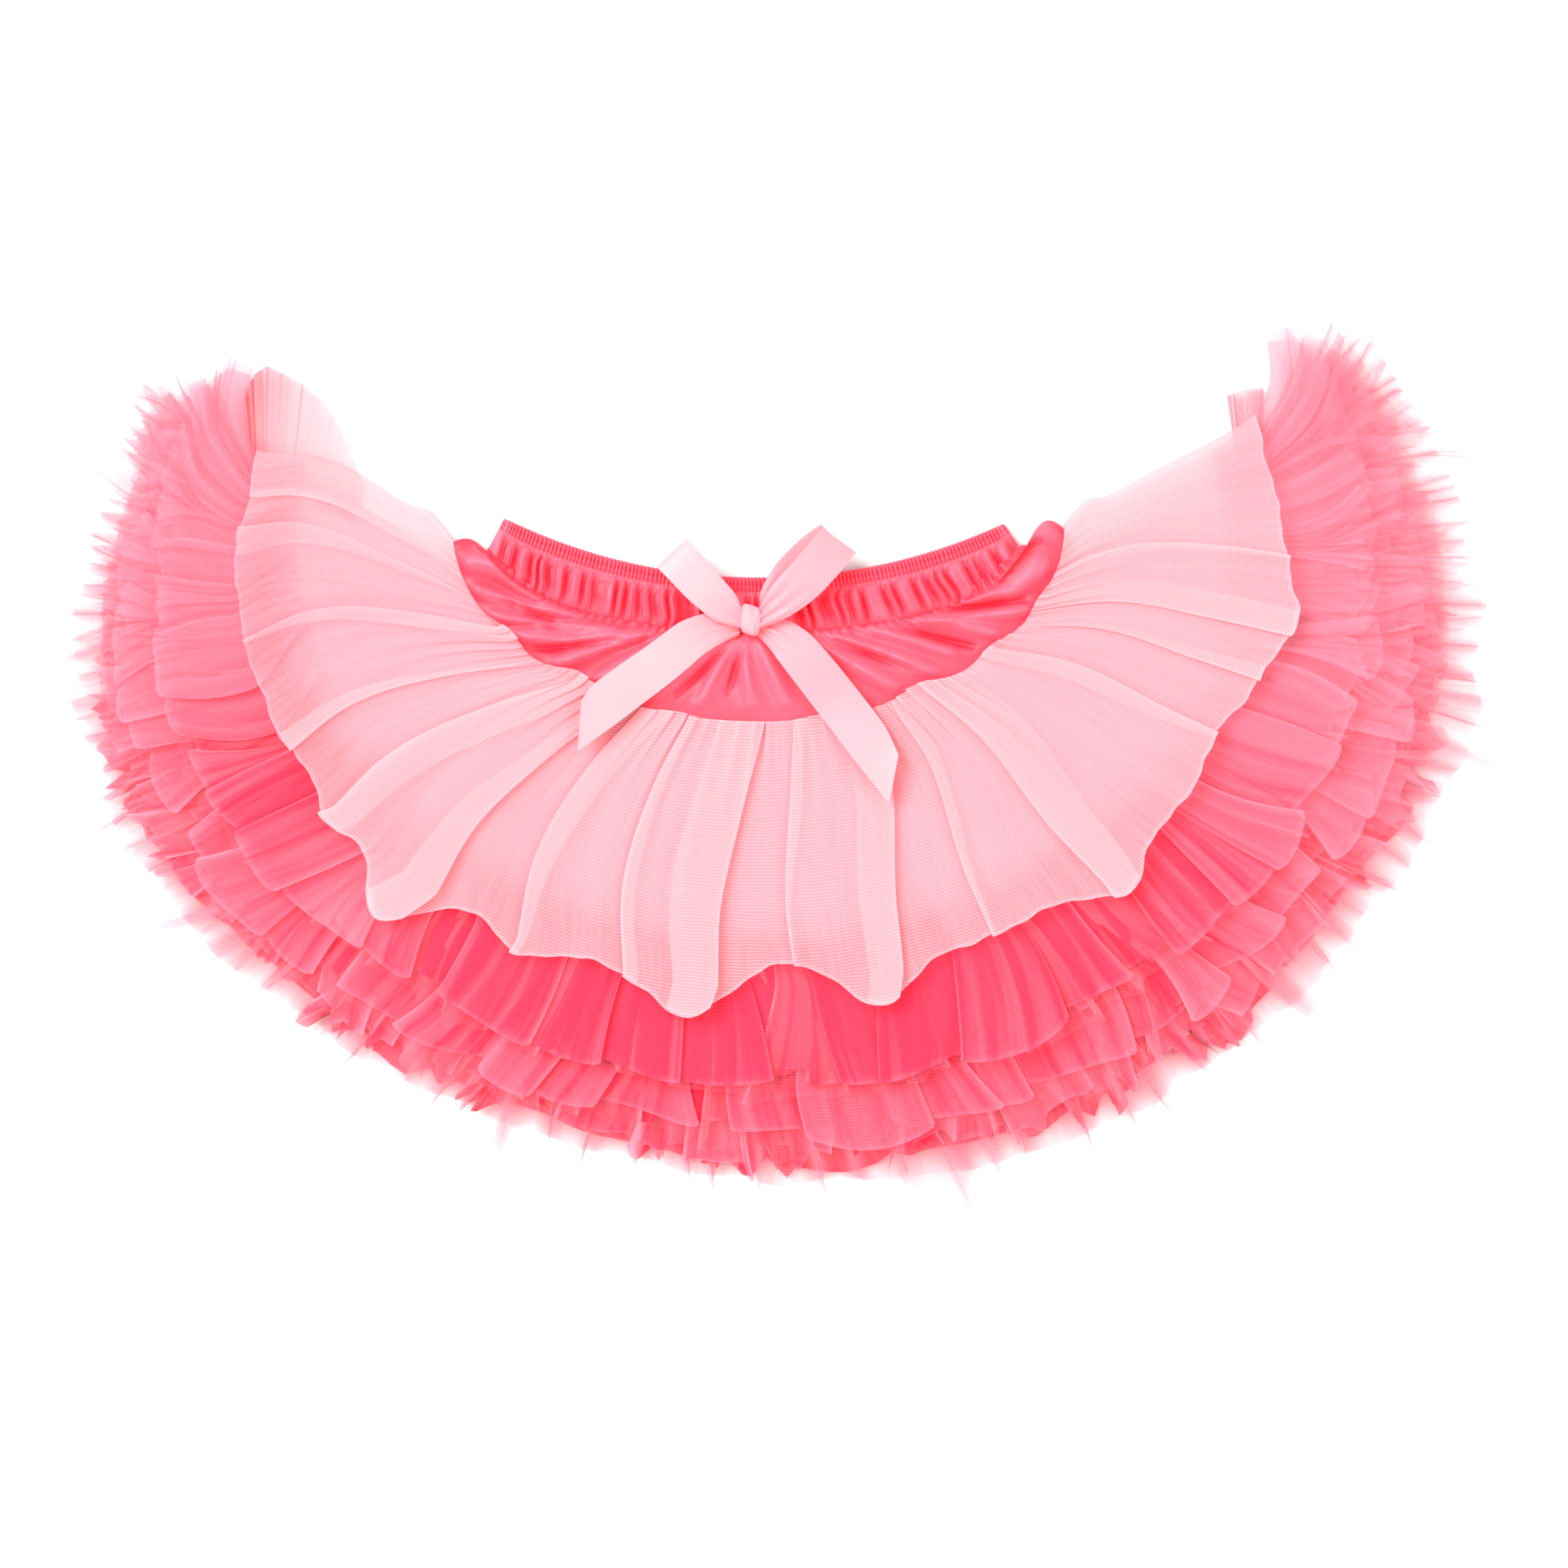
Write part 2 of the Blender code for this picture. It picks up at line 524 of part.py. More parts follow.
def knot(clothes, material):
    """The bow's knot: a small squarish cushion of folded ribbon."""
    base = felt_height(np.array([BOW_CENTRE[0]]), np.array([BOW_CENTRE[1]]), clothes)[0]
    middle = base + WALL / 2 + SEAM_GAP + KNOT_HALF[2]
    turn = np.arange(KNOT_TURNS) * 2 * np.pi / KNOT_TURNS
    rise = np.linspace(-np.pi / 2, np.pi / 2, KNOT_RINGS + 1)[1:-1, None]

    def squared(value):
        return np.sign(value) * np.abs(value) ** KNOT_BOXINESS

    x = KNOT_HALF[0] * squared(np.cos(turn)) * squared(np.cos(rise))
    y = KNOT_HALF[1] * squared(np.sin(turn)) * squared(np.cos(rise))
    z = KNOT_HALF[2] * squared(np.sin(rise)) * np.ones_like(turn)
    points = np.stack([x, y, z], axis=-1).reshape(-1, 3)
    points = np.vstack([points, (0.0, 0.0, -KNOT_HALF[2]), (0.0, 0.0, KNOT_HALF[2])])
    points += np.array([BOW_CENTRE[0] + PLACE[0], BOW_CENTRE[1] + PLACE[1], middle])
    rings = KNOT_RINGS - 1
    bottom, top = rings * KNOT_TURNS, rings * KNOT_TURNS + 1
    faces = []
    for column in range(KNOT_TURNS):
        right = (column + 1) % KNOT_TURNS
        faces.append((bottom, right, column))
        faces.append((top, (rings - 1) * KNOT_TURNS + column, (rings - 1) * KNOT_TURNS + right))
        for ring in range(rings - 1):
            low, high = ring * KNOT_TURNS, (ring + 1) * KNOT_TURNS
            faces.append((low + column, low + right, high + right, high + column))
    mesh = bpy.data.meshes.new("bow_knot")
    mesh.from_pydata((points * METRES).tolist(), [], faces)
    mesh.materials.append(material)
    mesh.shade_smooth()
    piece = bpy.data.objects.new("bow_knot", mesh)
    bpy.context.scene.collection.objects.link(piece)
    return piece


def build():
    clear_scene()
    satin = make_material(SATIN)
    ruffle_net = make_material(RUFFLE_NET)
    overlay_net = make_material(OVERLAY_NET)
    ribbon = make_material(RIBBON)

    _, casing_grid = banded_tube("waist_casing", CASING_ROWS, CASING_WAVES, CASING_COLUMNS,
                                 satin)
    _, yoke_grid = banded_tube("yoke", YOKE_ROWS, YOKE_WAVES, YOKE_COLUMNS, satin)
    _, overlay_grid = overlay(overlay_net)
    underskirt(ruffle_net)
    for ring in (LOWER, MIDDLE, UPPER):
        ruffle(ring, ruffle_net)

    clothes = (casing_grid, yoke_grid, overlay_grid)
    knot(clothes, ribbon)
    bow_loop("bow_loop_left", LEFT_LOOP, ribbon)
    bow_loop("bow_loop_right", RIGHT_LOOP, ribbon)
    bow_tail("bow_tail_left", LEFT_TAIL, LEFT_TAIL_TIPS, clothes, ribbon)
    bow_tail("bow_tail_right", RIGHT_TAIL, RIGHT_TAIL_TIPS, clothes, ribbon)


build()
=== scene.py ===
# %% [markdown]
# # A baby's net tutu, laid flat
# The skirt is a set of cloth tubes pressed flat on a table and fanned out: a satin waist
# shirred on elastic, a satin yoke, a pale net overskirt, and three pink net ruffles on an
# underskirt.  A ribbon bow is tied at the waist.  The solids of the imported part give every
# piece its place.  Here each one gets a thin cloth surface of its own, with finer pleats.
# The cloth could also be simulated, but its folds would then fall where they like.  Worked
# out from formulas, each fold stays where its numbers put it.

import bpy
import numpy as np
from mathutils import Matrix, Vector


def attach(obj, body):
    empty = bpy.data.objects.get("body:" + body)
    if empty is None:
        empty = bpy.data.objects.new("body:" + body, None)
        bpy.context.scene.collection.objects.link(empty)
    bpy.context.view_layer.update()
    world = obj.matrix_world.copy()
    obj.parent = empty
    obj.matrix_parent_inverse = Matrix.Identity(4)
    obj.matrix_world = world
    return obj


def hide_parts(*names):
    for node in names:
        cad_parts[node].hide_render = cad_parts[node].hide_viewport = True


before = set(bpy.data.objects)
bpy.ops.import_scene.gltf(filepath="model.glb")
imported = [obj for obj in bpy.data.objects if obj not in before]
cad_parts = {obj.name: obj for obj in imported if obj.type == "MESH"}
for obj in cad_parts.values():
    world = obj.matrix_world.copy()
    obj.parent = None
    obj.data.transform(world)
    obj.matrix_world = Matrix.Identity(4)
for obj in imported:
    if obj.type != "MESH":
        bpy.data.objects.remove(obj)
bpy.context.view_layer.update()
MM = 0.001                      # in metres: the skirt's own tables are in millimetres
PLACE = np.array([1.2, -1.8])   # the middle of the skirt, from the zero of its tables
print("nodes:", sorted(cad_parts))

# %% [markdown]
# ## Where the cloth lies
# A point of the skirt has a depth, measured down the front from the waist edge, and a share,
# which runs from 0 at the left fold to 1 at the right fold.  At a few depths the cloth lies
# along a part of an ellipse.  Every layer could have an outline of its own, but real layers
# hang from one another.  With this one pair of numbers for all of them, they spread out
# together, as the real ones do.

# %% The depths and their ellipses
LEVELS = (      # depth, centre x, y, half width, half height, left angle, right angle, even_x
    (0, -6.9, 272.3, 204.2, 204.2, -26.2, 25, 0),
    (19.4, -7.4, 81.5, 97, 33, -82, 78, 0.85),
    (50.3, -7.4, 85.8, 107.8, 68.1, -86, 90, 0.2),
    (74, -7.4, 85.5, 126.5, 91.3, -96.1, 97.7, 0),
    (118, -7.4, 84, 163.8, 134.1, -101.6, 103.4, 0),
    (144, -7.4, 83, 187, 159, -98, 104, 0),
)
YOKE_HEM, OVERSKIRT_HEM, FAN_START, LOWEST_HEM = 50.3, 144.0, 12.0, 214.0
FAN_LEFT, FAN_RIGHT = -104.0, 107.0     # degrees from straight down, at the two side folds
FAN_BLEND = 14.0                # depth in which the step square to the cloth turns to the fan
REACH_SHARES = (0, .06, .12, .20, .30, .40, .50, .62, .75, .88, .95, 1)
REACHES = (33, 48, 60, 66, 62, 64, 70, 75, 73, 66, 52, 34)
CORNER = 0.035                  # share of the front in which the fan turns up to a fold
CORNER_START = 105              # depth where the overskirt's corners begin to be drawn in
NEARBY = 0.002                  # a small step in share, to find which way the cloth runs
CORNERS_DRAWN = ((9.0, 8.0), (-7.0, 4.0))   # how the overskirt's two upper corners are pulled in


def eased(x, knots, values):
    """A smooth curve through a table, made of cubic pieces, and flat past its ends."""
    knots, values = np.array(knots, float), np.array(values, float)
    slopes = np.gradient(values, knots)
    x = np.clip(x, knots[0], knots[-1])
    n = np.clip(np.searchsorted(knots, x, side="right") - 1, 0, len(knots) - 2)
    step = knots[n + 1] - knots[n]
    t = (x - knots[n]) / step
    return ((2 * t ** 3 - 3 * t ** 2 + 1) * values[n] + (t ** 3 - 2 * t ** 2 + t) * step * slopes[n]
            + (3 * t ** 2 - 2 * t ** 3) * values[n + 1] + (t ** 3 - t ** 2) * step * slopes[n + 1])


def smooth(values, steps):
    """A Catmull-Rom curve through the rows of a table, with so many steps between rows."""
    table = np.array(values, float)
    padded = np.concatenate([2 * table[:1] - table[1:2], table, 2 * table[-1:] - table[-2:-1]])
    p0, p1, p2, p3 = (padded[k:len(padded) - 3 + k, None] for k in range(4))
    t = np.arange(steps)[None, :, None] / steps
    curve = 0.5 * (2 * p1 + (p2 - p0) * t + (2 * p0 - 5 * p1 + 4 * p2 - p3) * t ** 2
                   + (3 * p1 - p0 - 3 * p2 + p3) * t ** 3)
    return np.concatenate([curve.reshape(-1, table.shape[1]), table[-1:]])


def bell(x, middle, width):
    """1 at the middle, and nearly 0 from two widths away."""
    return np.exp(-((x - middle) / width) ** 2)


def laid(depth, share):
    """A place on the table: the points of all the ellipses, weighed by the depth, in straight
    lines down the satin and in smooth curves below it."""
    depths = [row[0] for row in LEVELS]
    total = 0.0
    for number, (_, cx, cy, wide, high, left, right, even) in enumerate(LEVELS):
        left, right = np.radians(left), np.radians(right)
        sine = np.arcsin(np.sin(left) + (np.sin(right) - np.sin(left)) * share)
        angle = left + (right - left) * share
        angle = angle + even * (sine - angle)
        here = np.stack([cx + wide * np.sin(angle), cy - high * np.cos(angle)], axis=-1)
        only = np.eye(len(LEVELS))[number]
        weight = np.where(depth < YOKE_HEM, np.interp(depth, depths, only),
                          eased(depth, depths[2:], only[2:]))
        total = total + weight[..., None] * here
    return total


def heading(degrees):
    """A direction by its angle from straight down, turning to the right."""
    return np.stack([np.sin(np.radians(degrees)), -np.cos(np.radians(degrees))], axis=-1)


print("the front's hem at the middle lies at", laid(np.array(144.0), np.array(0.5)).round(1))

# %% [markdown]
# Past the overskirt's hem the ruffles spread out like a fan, and at the two side folds they
# turn up.  A flat tube is a front wall, a round fold, a back wall and another round fold, so
# its loop of columns says which wall a column is in, and how far a fold's round end bulges.
# Two separate sheets would be simpler, but they would end in open edges at the sides, where a
# real tube of cloth goes round.

# %% A flat tube's plan
def bend_at(share):
    """1 at a side fold, and near 0 a short way from it."""
    edge = np.minimum(share, 1 - share)
    return (1 - 2 * edge) ** 2 / (1 + (edge / CORNER) ** 2)


def inland(share, width):
    """0 at the side folds, and 1 from so great a share inside them."""
    return np.clip(np.minimum(share, 1 - share) / width, 0, 1)


def flat_tube(depth, share, bulge, thickness, ring, wider=(0.0, 0.0)):
    """The plan of a tube's points: laid cloth, plus the fan past the overskirt's hem, plus a
    step square to it that rounds the fold and sets this tube inside the outer ones.  Wider
    widens the fan at the left and at the right."""
    share = np.clip(share, 0, 1)
    bend = bend_at(share)
    beyond = np.maximum(depth - OVERSKIRT_HEM, 0)
    straight = FAN_START * np.tanh(beyond / FAN_START)
    spread = (beyond - straight) / (LOWEST_HEM - OVERSKIRT_HEM - FAN_START)
    angle = FAN_LEFT + (FAN_RIGHT - FAN_LEFT) * share
    on_left = share < 0.5
    turned = angle + bend * np.where(on_left, -ring["turned"][0] - FAN_LEFT,
                                     ring["turned"][1] - FAN_RIGHT)
    reach = eased(share, REACH_SHARES, REACHES) - FAN_START
    reach = reach * (1 + np.where(on_left, *ring.get("corner_gain", (0, 0))) * bend ** 2)
    reach = reach * (1 + np.where(on_left, *wider) * np.abs(2 * share - 1) ** 1.5)
    near = np.clip(share, NEARBY, 1 - NEARBY)
    along = laid(depth, near + NEARBY) - laid(depth, near - NEARBY)
    along /= np.linalg.norm(along, axis=-1, keepdims=True)
    in_fan = np.clip(beyond / FAN_BLEND, 0, 1)[..., None]
    outward = along * (1 - in_fan) + heading(turned + 90) * in_fan
    outward = outward * np.where(on_left, -1.0, 1.0)[..., None]
    out = (bulge - bend) * thickness / 2 - ring["inset"] * bend
    early = heading(angle + ring.get("early", 0.6) * (turned - angle))
    near_hem = np.clip((depth - CORNER_START) / (OVERSKIRT_HEM - CORNER_START), 0, 1) ** 2 * bend
    drawn_in = np.where(on_left[..., None], *CORNERS_DRAWN)
    return (laid(depth, share) + near_hem[..., None] * drawn_in + straight[..., None] * early
            + (spread * reach)[..., None] * heading(turned) + out[..., None] * outward)


def tube_walls(ring, depth, share, facing, bulge, curve=np.interp, wider=(0.0, 0.0)):
    """The plan of a tube's points, and the height of the solid's wall under each of them."""
    back_z = curve(depth, ring["depth"], ring["back"])
    front_z = curve(depth, ring["depth"], ring["front"])
    plan = flat_tube(depth, share, bulge, front_z - back_z, ring, wider)
    return plan, back_z + (front_z - back_z) * (1 + facing) / 2


def on_walls(facing, front, back):
    """One value on the front wall and one on the back, and 0 on the round folds."""
    return np.where(facing == 1, front, np.where(facing == -1, back, 0))


def raised(plan, level):
    """Plan and height as one grid of points."""
    return np.concatenate([plan, level[..., None]], axis=-1)


def run(line):
    """How far each point of a line lies along it, in millimetres."""
    return np.cumsum(np.linalg.norm(np.diff(line, axis=0, prepend=line[:1]), axis=1))


def round_loop(front, back, turns=9):
    """Columns round a flat tube: share, facing (1 front, -1 back) and the fold's bulge."""
    turn = np.radians(np.linspace(90, -90, turns + 2)[1:-1])
    left_to_right, right_to_left = np.linspace(0, 1, front), np.linspace(1, 0, back)
    share = np.concatenate([left_to_right, 1 + 0 * turn, right_to_left, 0 * turn])
    facing = np.concatenate([1 + 0 * left_to_right, np.sin(turn),
                             -1 + 0 * right_to_left, -np.sin(turn)])
    bulge = np.concatenate([0 * left_to_right, np.cos(turn), 0 * right_to_left, np.cos(turn)])
    return share, facing, bulge


RINGS = {       # heights of the back and front walls over the table, at each depth
    "underskirt": dict(depth=(46, 50.3, 74, 118, 144, 158), back=(2, 2, 2.4, 4.76, 7.06, 5.99),
                       front=(4, 4, 4.4, 6.76, 9.06, 7.99), inset=10, turned=(165, 165)),
    "lower": dict(depth=(158, 178, 197, 214), back=(4.39, 5.01, 3.2, .5),
                  front=(9.29, 9.07, 7.71, 5.4), inset=8, turned=(140, 150),
                  corner_gain=(.45, .3)),
    "middle": dict(depth=(144, 158, 178, 197), back=(5.46, 2.5, 2.7, .5),
                   front=(10.36, 12.29, 14.21, 14.88), inset=5, turned=(162, 165),
                   corner_gain=(.3, .4)),
    "upper": dict(depth=(118, 144, 158, 178), back=(3.16, 3.6, .5, .5),
                  front=(8.06, 13.36, 16.72, 20.68), inset=2.5, turned=(197, 190),
                  corner_gain=(1.4, 1.2)),
    "overskirt": dict(depth=(50.3, 74, 118, 144), back=(.5,) * 4,
                      front=(5.3, 5.7, 11.06, 18.53), inset=0, turned=(278, 180),
                      corner_gain=(1.3, 1.3), early=.95),
    "waist": dict(depth=(0, 5.2, 12, 19.4, 33, 46, 50.3), back=(.5,) * 7,
                  front=(2.5, 2.7, 3.2, 2.6, 3.8, 5.1, 5.1), inset=0, turned=(180, 180)),
}
print("tubes, from the inside out:", list(RINGS))

# %% [markdown]
# ## From a grid of points to cloth
# Real cloth is a fraction of a millimetre thick, so each piece is one surface without a wall:
# a grid of points, with a face between every four neighbours.  It also keeps its distances
# along the cloth as a UV map, so that the weave follows the folds, and a "gather" value that
# says how closely the net is bunched.  On the satin and the ribbon the same value says how much
# shade is painted into the colour.  A painted picture could carry that value too, but one
# number at each point needs no file and fits the grid as it is.

# %% Grid to mesh
def placed(name, data):
    """A new object in the scene, at its origin."""
    thing = bpy.data.objects.new(name, data)
    bpy.context.scene.collection.objects.link(thing)
    return thing


def cloth(name, grid, closed, distances, gather, material, node_names, edge=0.0):
    """A mesh with faces between the neighbours of a grid (rows, columns, 3).  A closed one
    also joins its last column to its first."""
    rows, columns = grid.shape[:2]
    row, column = np.meshgrid(np.arange(rows - 1), np.arange(columns - (not closed)),
                              indexing="ij")
    right = (column + 1) % columns
    corners = np.stack([row * columns + column, (row + 1) * columns + column,
                        (row + 1) * columns + right, row * columns + right], axis=-1)
    points = grid.copy()
    points[..., :2] += PLACE
    mesh = bpy.data.meshes.new(name)
    mesh.vertices.add(rows * columns)
    mesh.vertices.foreach_set("co", (points * MM).astype(np.float32).ravel())
    faces = corners.reshape(-1, 4)
    mesh.loops.add(faces.size)
    mesh.loops.foreach_set("vertex_index", faces.ravel().astype(np.int32))
    mesh.polygons.add(len(faces))
    mesh.polygons.foreach_set("loop_start", np.arange(0, faces.size, 4, dtype=np.int32))
    mesh.update(calc_edges=True)
    mesh.validate()
    uv = np.stack([np.broadcast_to(way, (rows, columns)) for way in distances], axis=-1)
    at_corner = uv.reshape(-1, 2)[faces.ravel()].reshape(-1, 4, 2)
    wraps = (faces[:, 3] < faces[:, 0]) if closed else np.zeros(len(faces), bool)
    step = uv[0, 1, 0] - uv[0, 0, 0]
    at_corner[wraps, 2:, 0] = at_corner[wraps, :2, 0][:, ::-1] + step
    mesh.uv_layers.new(name="cloth_mm").data.foreach_set(
        "uv", at_corner.astype(np.float32).ravel())
    for label, values in (("gather", gather), ("fold_edge_highlight", edge)):
        mesh.attributes.new(label, "FLOAT", "POINT").data.foreach_set(
            "value", np.broadcast_to(values, (rows, columns)).astype(np.float32).ravel())
    mesh.materials.append(material)
    mesh.shade_smooth()
    piece = placed(name, mesh)
    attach(piece, "root")
    if node_names:
        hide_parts(*node_names)
    print(f"{name}: {2 * len(faces)} triangles")
    return piece


# %% [markdown]
# ## Net
# Fine net is mostly holes.  One layer lets white through, and many add up to full colour.
# The holes could be modelled, but there are far too many of them.  So the net's alpha is low,
# follows the fine mesh, and rises where the net is bunched.  The layers then add up by
# themselves, and nothing has to be painted where one lies over another.

# %% Shader helpers
def preset(node, **values):
    """Constant values on a node's sockets, by name, with _ for a space."""
    for name, value in values.items():
        node.inputs[name.replace("_", " ")].default_value = value


def new_material(name, colour, roughness, sheen=0.0):
    """A principled material and its node tree, with constant values on the sockets."""
    material = bpy.data.materials.new(name)
    material.use_nodes = True
    tree = material.node_tree
    shader = tree.nodes["Principled BSDF"]
    preset(shader, Base_Color=(*colour, 1), Roughness=roughness, Sheen_Weight=sheen)
    return material, tree, shader


def math_node(tree, operation, *inputs):
    """One Math node: each input is a number or another node's socket."""
    node = tree.nodes.new("ShaderNodeMath")
    node.operation = operation
    for socket, value in zip(node.inputs, inputs):
        if isinstance(value, (int, float)):
            socket.default_value = value
        else:
            tree.links.new(value, socket)
    return node.outputs[0]


def cloth_distance(tree):
    """The two cloth distances, in millimetres, from the piece's own UV map."""
    uv = tree.nodes.new("ShaderNodeUVMap")
    uv.uv_map = "cloth_mm"
    apart = tree.nodes.new("ShaderNodeSeparateXYZ")
    tree.links.new(uv.outputs[0], apart.inputs[0])
    return uv.outputs[0], apart.outputs[0], apart.outputs[1]


def attribute(tree, name):
    """The value that the mesh keeps under this name."""
    node = tree.nodes.new("ShaderNodeAttribute")
    node.attribute_name = name
    return node.outputs["Fac"]


def blend(tree, shader, pale, deep, factor):
    """The base colour: pale where the factor is 0 and deep where it is 1."""
    mix = tree.nodes.new("ShaderNodeMix")
    mix.data_type = "RGBA"
    preset(mix, A=(*pale, 1), B=(*deep, 1))
    tree.links.new(factor, mix.inputs["Factor"])
    tree.links.new(mix.outputs["Result"], shader.inputs["Base Color"])


def relief(tree, shader, strength, distance, height):
    """Fine relief that only the light sees."""
    bump = tree.nodes.new("ShaderNodeBump")
    preset(bump, Strength=strength, Distance=distance)
    tree.links.new(height, bump.inputs["Height"])
    tree.links.new(bump.outputs[0], shader.inputs["Normal"])


def streaks(tree, vector, across, down, detail=4.0):
    """Noise drawn out down the cloth: so many millimetres to a streak's width and length."""
    mapping = tree.nodes.new("ShaderNodeMapping")
    preset(mapping, Scale=(1 / across, 1 / down, 1))
    noise = tree.nodes.new("ShaderNodeTexNoise")
    preset(noise, Scale=1.0, Detail=detail)
    tree.links.new(vector, mapping.inputs[0])
    tree.links.new(mapping.outputs[0], noise.inputs["Vector"])
    return noise.outputs["Fac"]


print("shader helpers:", [helper.__name__ for helper in (
    preset, new_material, math_node, cloth_distance, attribute, blend, relief, streaks)])

# %% The net's material
FULL_TURN = 6.2832      # radians, for the mesh's sines
ROW_PITCH, COLUMN_PITCH = 1.1, 0.9      # millimetres of net to a row and a column of its mesh
THINNEST = -0.42        # the lowest gather value that still makes the net thinner


def net_material(name, pale, deep, sheer, dense, mesh_depth, edge):
    """Alpha goes from sheer, where the gather value plus long streaks is 0, to dense at 1,
    times the mesh: a sine down the cloth, crossed by a weaker one across.  Below 0 the net
    is stretched out thin.  Creases, where it turns back, are less clear, and paler as a
    painted highlight."""
    material, tree, shader = new_material(name, deep, 0.8, sheen=0.15)

    def calc(operation, *inputs):
        """A Math node in this material."""
        return math_node(tree, operation, *inputs)

    vector, across, down = cloth_distance(tree)
    gather, crease_highlight = attribute(tree, "gather"), attribute(tree, "fold_edge_highlight")
    streak = streaks(tree, vector, 1.6, 40.0)
    wander = calc("MULTIPLY", streaks(tree, vector, 14.0, 14.0, 1.0), 9.0)
    rib = calc("SINE", calc("ADD", calc("MULTIPLY", down, FULL_TURN / ROW_PITCH), wander))
    column = calc("SINE", calc("MULTIPLY", across, FULL_TURN / COLUMN_PITCH))
    mesh = calc("ADD", calc("MULTIPLY", rib, mesh_depth),
                calc("MULTIPLY", column, mesh_depth * 0.3))
    mesh = calc("ADD", mesh, 1.0)
    bunched = calc("ADD", gather, calc("MULTIPLY", calc("SUBTRACT", streak, 0.5), 0.6))
    opacity = calc("ADD", sheer, calc("MULTIPLY", calc("MAXIMUM", bunched, THINNEST),
                                      dense - sheer))
    opacity = calc("ADD", calc("MULTIPLY", opacity, mesh), calc("MULTIPLY", crease_highlight, edge))
    tree.links.new(calc("MINIMUM", opacity, 1.0), shader.inputs["Alpha"])
    # Paler where the fold-edge value is high: a painted highlight along fold edges and hems.
    blend(tree, shader, pale, deep, calc("SUBTRACT", bunched, crease_highlight))
    relief(tree, shader, 0.15, 0.0004, calc("ADD", rib, calc("MULTIPLY", streak, 3.0)))
    return material


# Each net is pale where its gather value is low and deep where it is high, and paler still at fold
# edges and hems, a painted highlight.  The inside ruffle net is a deeper copy of the outside one:
# painted shade for the layers deep in the stack.
RUFFLE_NET = net_material("ruffle_net_outside", (1.0, .31, .42), (1.0, .026, .086), 0.26, 0.62,
                          0.20, 0.18)
SHADED_INNER_NET = net_material("ruffle_net_inside_shaded", (1.0, .28, .39), (1.0, .010, .048), 0.34, 0.85,
                        0.08, 0.10)
SHEER_NET = net_material("sheer_net", (1.0, .20, .27), (1.0, .12, .20), 0.24, 0.7, 0.15, 0.4)
PALE_NET = net_material("overskirt_net", (1.0, .47, .51), (1.0, .34, .38), 0.38, 0.85, 0.22,
                        0.25)
LINING = net_material("underskirt_cloth", (1.0, .42, .50), (1.0, .23, .31), 0.30, 0.95, 0.05,
                      0.0)
print("net materials:", [material.name for material in bpy.data.materials])

# %% [markdown]
# ## Pleats
# Gathered net stands in waves that fall over to one side or the other.  A cosine wave that is
# leaned over sideways makes small pleats.  Broad folds are net that turns back twice, with
# three layers between their edges.  Their places wander, so no two are alike.  Relief in the
# material would be quicker, but only a surface that really folds lies three layers deep, and
# so shows bands of deeper colour.

# %% A row of leaning pleats
def wander(place, seed, *cycles):
    """A slow, smooth, made-up variation from -1 to 1: a few sines of different lengths."""
    total = sum(np.sin(2 * np.pi * c * place + seed * (1.7 + n)) / (1 + 0.4 * n)
                for n, c in enumerate(cycles))
    return total / sum(1 / (1 + 0.4 * n) for n in range(len(cycles)))


def pleats(place, count, lean, seed):
    """Returns how far the cloth is shifted along the ruffle, and the wave from 0 to 1."""
    phase = 2 * np.pi * (count * place + 0.35 * wander(place, seed, 3.1, 7.3, 0.21 * count))
    wave = np.cos(phase)
    tilt = lean * wander(place, seed + 2, 1.7, 4.3, 9.1)
    return tilt * wave / (2 * np.pi * count), (wave + 1) / 2


def folded(root_at, hem_at, root_wide, hem_wide, side, columns, soft):
    """Fold a strip of net back on itself at each place: it runs on to the fold's right edge,
    back to the left edge, and on again.  Where side is 1 the net comes in on top, so that
    the right edge shows, and where it is -1 it leaves on top.  Returns, for each column, its
    place at root and hem, its height in the stack (0 to 1) and its distance to an edge."""
    def turns(at, wide):
        """Where the net turns back: each fold's right edge and then its left one, with the
        strip's two ends before and after them."""
        pairs = np.stack([at + wide / 2, at - wide / 2], axis=1)
        return np.concatenate([[0.0], pairs.ravel(), [1.0]])

    side = np.asarray(side)
    tops = np.concatenate([[0.0], np.stack([side > 0, side < 0], axis=1).ravel(), [0.0]])
    hems = turns(hem_at, hem_wide)
    net = np.concatenate([[0.0], np.cumsum(np.abs(np.diff(hems)))])
    along = np.linspace(0, net[-1], columns)
    weights = bell(np.linspace(-2, 2, 2 * soft + 1), 0, 1)
    rows = [np.convolve(np.pad(np.interp(along, net, row), soft, mode="reflect",
                               reflect_type="odd"), weights / weights.sum(), "valid")
            for row in (turns(root_at, root_wide), hems, tops)]
    return (*rows, np.abs(along[:, None] - net[None, 1:-1]).min(axis=1))


def folded_walls(share, facing, folds, soft):
    """The same folds on a tube's front and, the other way round, on its back.  Its round side
    folds have their own share for a place, no height, and no edge near them."""
    rows = np.stack([share, share, 0 * share, np.inf + 0 * share])
    for order in (1, -1):
        wall = facing == order
        rows[:, wall] = [row[::order] for row in folded(*folds, int(wall.sum()), soft)]
    return rows


def crowded(place):
    """Places on a plain row, moved closer together next to the two side folds."""
    return place - 0.6 * np.sin(2 * np.pi * place) / (2 * np.pi)


